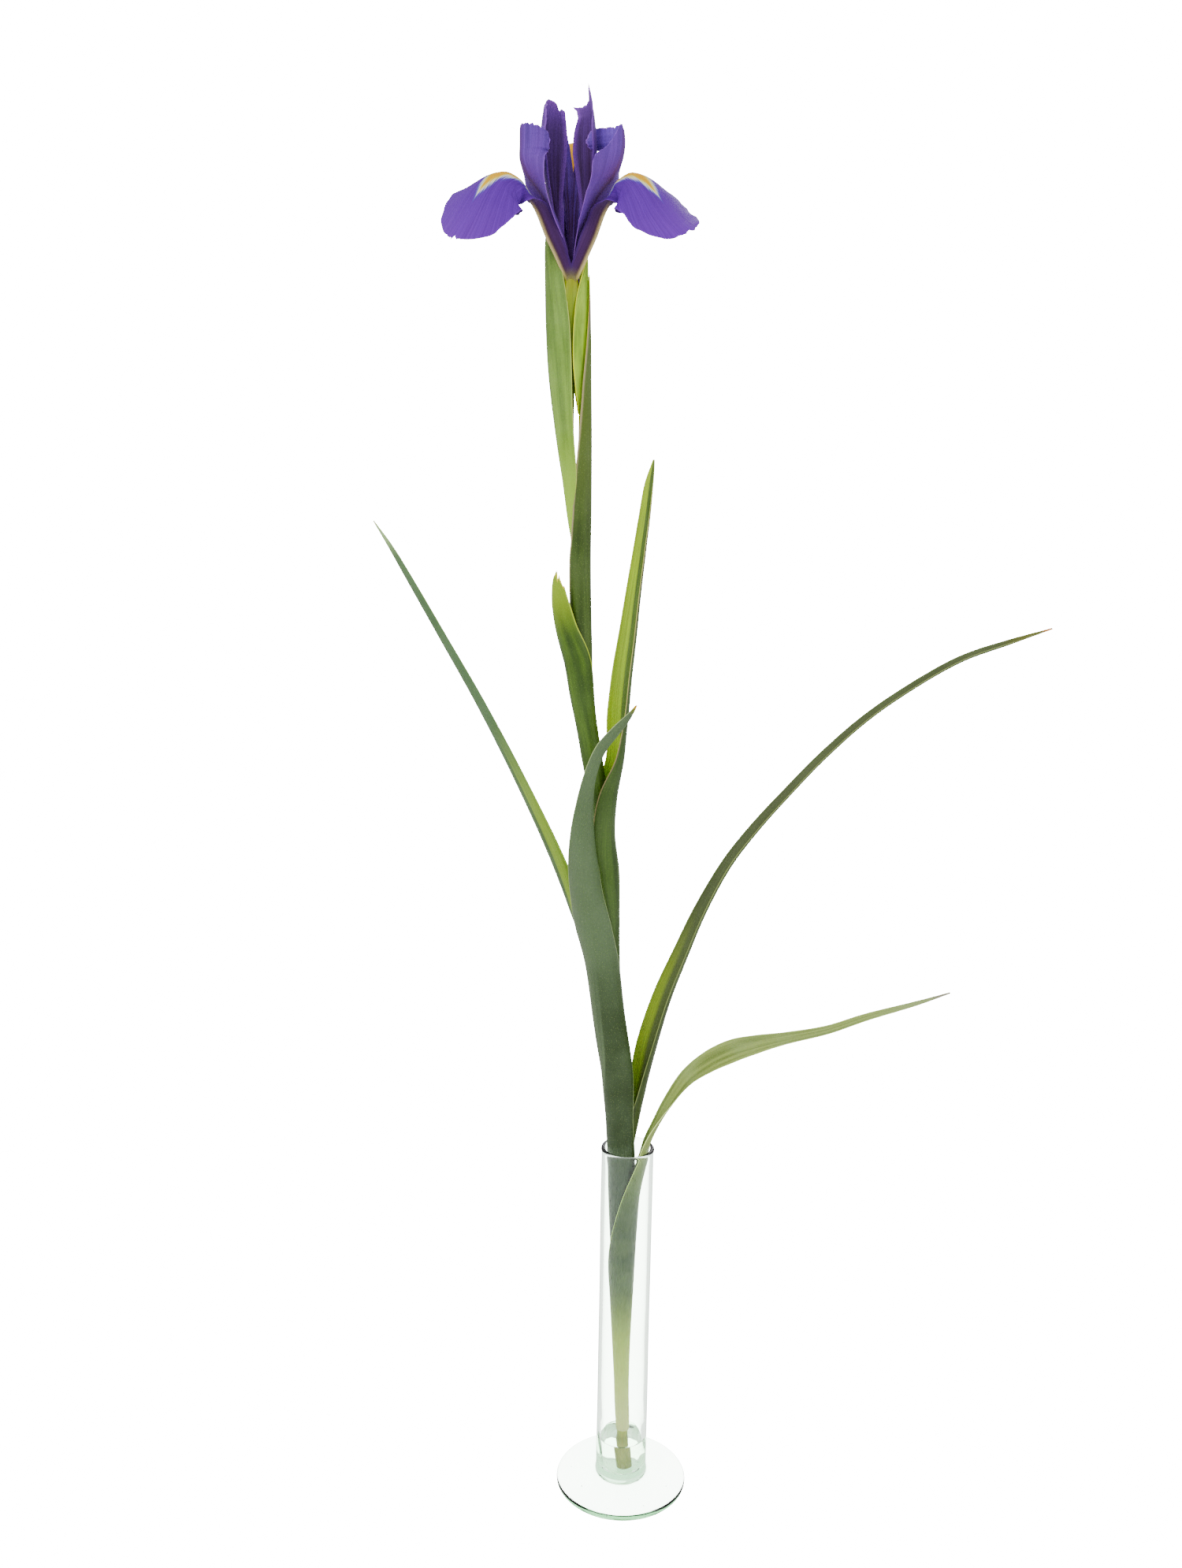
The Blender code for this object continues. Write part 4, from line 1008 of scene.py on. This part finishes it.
def makeBloom():
    fallInner = petalFinish("fallInner", {
        "along": [(0, (120, 100, 80)), (0.2, (90, 52, 100)), (0.4, (112, 66, 166)), (0.75, (130, 84, 180)),
            (1, (150, 100, 192))],
        "tones": [(146, 100, 194), (94, 50, 142), (162, 116, 200)], "veins": 70, "veinLength": 1.2,
        "rimWidth": 1, "rimStrength": 0.35, "seed": 21,
        "signal": [(3.4, 2, (120, 112, 194)), (2.6, 1.5, (222, 228, 234)), (1.9, 1.1, (246, 240, 180)),
            (1.3, 0.6, (0.95, 0.50, 0, 1)), (-0.6, -1.8, (0.95, 0.40, 0, 1))]})
    fallOuter = petalFinish("fallOuter", {
        "along": [(0, (100, 64, 112)), (0.12, (96, 60, 108)), (0.28, (94, 64, 104)), (0.5, (112, 72, 156)),
            (1, (130, 88, 176))],
        "tones": [(126, 88, 148), (68, 42, 98), (96, 64, 142)], "veins": 70, "veinLength": 1.2,
        "rimWidth": 1.6, "rimStrength": 0.6, "seed": 22,
        "keels": [(-0.2, 0.29, 1.9, 1.1, (104, 72, 88)), (-0.2, 0.29, 1, 0.8, (204, 194, 160)),
            (-0.2, 0.012, 4.6, 1.4, (184, 184, 66))]})
    fallShape = {"lengths": 150, "widths": 56, "thickness": 0.5, "thinEdge": 0.3, "taper": 3, "fan": 0.30,
                 "signal": signalLine, "frill": 0.02, "frillFrom": 0.55, "frillWaves": 46, "ruffle": 0.9,
                 "ruffleWaves": 17, "jag": 0.004, "jagWaves": 22}
    outlines = {
        "left": [(-1, 0.96), (-0.5, 0.985), (-0.12, 0.985), (0, 1), (0.12, 0.97), (0.5, 0.985), (1, 0.97)],
        "right": [(-1, 0.98), (-0.4, 1), (0, 0.985), (0.4, 1), (1, 0.96)],
        "back": [(-1, 0.98), (0, 1), (1, 0.98)],
    }
    # the haft's margins close over its base, draw in to a waist, and the blade's lobes hang from there
    waist = [(0, 1.9, 1), (0.1, 1.6, 1), (0.2, 1.15, 1), (0.27, 0.95, 1), (0.32, 0.55, 1),
             (0.345, 0.95, 1), (0.37, 1.2, 1), (0.41, 1.2, 1), (0.46, 1.08, 1), (0.6, 1, 1), (1, 1, 1)]
    hang = [(0.31, 0), (0.345, 3.5), (0.37, 6.5), (0.41, 8), (0.46, 6), (0.52, 3), (0.6, 0)]
    backWaist = [(0, 1.9, 1), (0.1, 1.6, 1), (0.2, 1.25, 1), (0.32, 1.05, 1), (0.41, 1.1, 1),
                 (0.6, 1, 1), (1, 1, 1)]
    backHang = [(0.24, 0), (0.30, 2.5), (0.345, 4.5), (0.41, 6), (0.46, 5), (0.52, 3), (0.6, 0)]
    for number, side in enumerate(("left", "right", "back")):
        rows = petalRows(bloomLook[side], fallStations[side], fold=2)
        halves = backWaist if side == "back" else waist
        shape = {**fallShape, "minusHalf": halves, "plusHalf": halves, "outline": outlines[side],
                 "hang": backHang if side == "back" else hang, "seed": 2 + number}
        growSheet("fall_petal_" + side, rows, shape, fallInner, fallOuter, "fall_" + side)
    print("falls grown")

    styleOuter = petalFinish("styleOuter", {
        "along": [(0, (92, 58, 112)), (0.2, (112, 78, 140)), (0.35, (148, 110, 192)), (0.6, (128, 94, 170)),
            (1, (124, 100, 176))],
        "tones": [(156, 120, 196), (96, 60, 132), (172, 136, 206)], "veins": 60,
        "rimWidth": 0.8, "rimStrength": 0.6, "seed": 23, "keels": [(0.3, 1.2, 0.9, 0.9, (126, 88, 156))]})
    styleInner = petalFinish("styleInner", {
        "along": [(0, (84, 46, 70)), (0.5, (100, 62, 104)), (0.8, (136, 104, 178)), (1, (156, 128, 204))],
        "tones": [(156, 128, 204), (104, 70, 130), (186, 148, 206)], "veins": 60,
        "rimWidth": 0.8, "rimStrength": 0.6, "seed": 24})
    styleShape = {"lengths": 130, "widths": 72, "thickness": 0.45, "thinEdge": 0.3, "taper": 1.8,
                  "frill": 0.035, "frillFrom": 0.62, "frillWaves": 120, "ruffle": 0.8, "ruffleWaves": 40,
                  "jag": 0.010, "jagWaves": 34}
    lobes = {
        "left": {
            "minusHalf": [(0, 1, 1), (0.6, 1, 1), (0.75, 1.1, 1.04), (1, 1.15, 1.04)],
            "plusHalf": [(0, 1, 1), (0.3, 1.2, 1), (0.5, 1.2, 0.9), (0.62, 1.2, 0.95), (0.7, 1.08, 1),
                         (1, 1, 1)]},
        "right": {
            "plusHalf": [(0, 1, 1), (0.55, 1.1, 1), (0.68, 1.5, 1.15), (0.85, 1.75, 1.2), (1, 1.75, 1.2)],
            "minusHalf": [(0, 1, 1), (0.2, 1.25, 0.8), (0.35, 1.6, 0.3), (0.5, 1.6, 0.4), (0.65, 1.3, 0.9),
                (0.8, 1.05, 1), (1, 1, 1)],
            "calmHalf": -1},
        "back": {},
    }
    for number, side in enumerate(("left", "right", "back")):
        rows = petalRows(bloomLook[side], styleStations[side])
        growSheet("style_branch_" + side, rows,
            {**styleShape, **lobes[side], "outline": crestOutline[side], "seed": 6 + number}, styleInner,
            styleOuter, "style_arm_" + side)
    print("style arms grown")

    # both faces darken toward the claw: the claw's own brownish violet, deepened by a painted shade of the
    # dark cleft between the standards
    standardOuter = petalFinish("standardOuter", {
        "along": [(0, (100, 66, 84)), (0.2, (86, 56, 84)), (0.5, (108, 76, 130)), (0.75, (134, 100, 172)),
            (0.9, (160, 122, 192)), (1, (176, 136, 202))],
        "tones": [(152, 116, 186), (78, 50, 100), (172, 132, 200)], "veins": 46,
        "rimWidth": 1.6, "rimStrength": 0.6, "seed": 25})
    standardInner = petalFinish("standardInner", {
        "along": [(0, (96, 62, 74)), (0.2, (84, 54, 76)), (0.45, (100, 70, 112)), (0.7, (126, 94, 156)),
            (0.85, (156, 118, 190)), (1, (176, 134, 200))],
        "tones": [(142, 108, 176), (72, 46, 92), (168, 128, 198)], "veins": 46,
        "rimWidth": 2.4, "rimStrength": 0.65, "seed": 26})
    standardShape = {"lengths": 130, "widths": 56, "thickness": 0.45, "thinEdge": 0.3, "taper": 1.8,
                     "ruffle": 0.6, "frillFrom": 0.6, "ruffleWaves": 30, "jag": 0.006, "jagWaves": 24}
    lobes = {
        "left": {
            "minusHalf": [(0, 1, 1), (0.6, 0.95, 1), (1, 0.92, 1)],
            "plusHalf": [(0, 1, 1), (0.2, 1.35, 1), (0.45, 1.3, 1), (0.6, 1.15, 1), (0.75, 1, 1), (1, 1, 1)]},
        "right": {
            "plusHalf": [(0, 1, 1), (0.5, 1.05, 1), (0.62, 0.92, 1), (0.72, 0.8, 1), (0.78, 1.05, 0.7),
                (0.83, 1.7, 0.45), (1, 1.75, 0.4)]},
    }
    for number, side in enumerate(("left", "right")):
        rows = petalRows(bloomLook[side + "Standard"], standardStations[side])
        growSheet("standard_petal_" + side, rows,
            {**standardShape, **lobes[side], "outline": standardOutline[side], "seed": 10 + number},
            standardInner, standardOuter, "standard_" + side)
    print("standards grown")


# a filament that carries a long anther, lying in the trough of the haft
def makeStamens():
    pollen, tree, shader = newFinish("stamenPollen", 0.7, 0.2, (1, 0.8, 0.5))
    grain = put(tree, "ShaderNodeTexNoise", {"Vector": objectPlace(tree), "Scale": 2600, "Detail": 2})
    colour = ramp(tree, measure(tree, "along"), [(0, (190, 176, 210)), (0.5, (176, 158, 206)),
                                (0.62, (226, 214, 170)), (1, (236, 226, 186))])
    colour = touch(tree, grain.outputs["Fac"], 0.35, colour, (200, 180, 120))
    tree.links.new(colour, shader.inputs["Base Color"])
    addBump(tree, shader, grain.outputs["Fac"], 0.0001, 0.5)
    for side in ("left", "right", "back"):
        rows = np.array(petalRows(bloomLook[side], fallStations[side]))
        first = 0.06
        last = 2.7 / (len(rows) - 1)  # short enough to stay hidden under the style arm
        places = []
        radii = []
        for share in np.linspace(0, 1, 17):
            row = flow(rows, np.array([first + (last - first) * share]))[0]
            places.append(row[:3] - row[6:9] * (0.9 + 0.7 * min(share * 2, 1)))
            anther = math.sin(math.pi * min(max((share - 0.5) / 0.5, 0), 1)) ** 0.5
            radii.append(0.33 + 0.42 * anther)
        look = {"sides": 18, "rings": 70, "ribs": 2, "ribDepth": 0.12}
        growRod("stamen_rod_" + side, places, radii, look, pollen, "stamen_" + side)
    print("stamens grown")


# a few drops of water that cling low on the arching leaf
def makeDrops():
    clear, tree, shader = clearFinish("leafDrops", tone(252, 254, 252), 1.333)
    drops = []
    for s, t, radius in ((0.30, 0.92, 0.75), (0.318, 0.95, 0.55), (0.352, 0.9, 0.8), (0.27, 0.9, 0.5),
                         (0.245, 0.96, 0.4)):
        point, facing, width = curledPoints(longRightRows, np.array([s]), np.array([t]), 1)
        place = Vector(point[0] - facing[0] * 0.35) * mm
        drops.append(bead(place, radius, 24, 16, bpy.ops.transform.resize, value=(1, 1, 1.2),
                          center_override=place))
    joinTo(drops[0], drops[1:])
    drops[0].name = "water_drops"
    drops[0].data.name = "water_drops"
    drops[0].data.materials.append(clear)
    settle(drops[0], None)
    print("drops placed")


makeStudio()
makeVase()
makeWater()
makeStem()
makeBracts()
makeLeaves()
makeBloom()
makeStamens()
makeDrops()
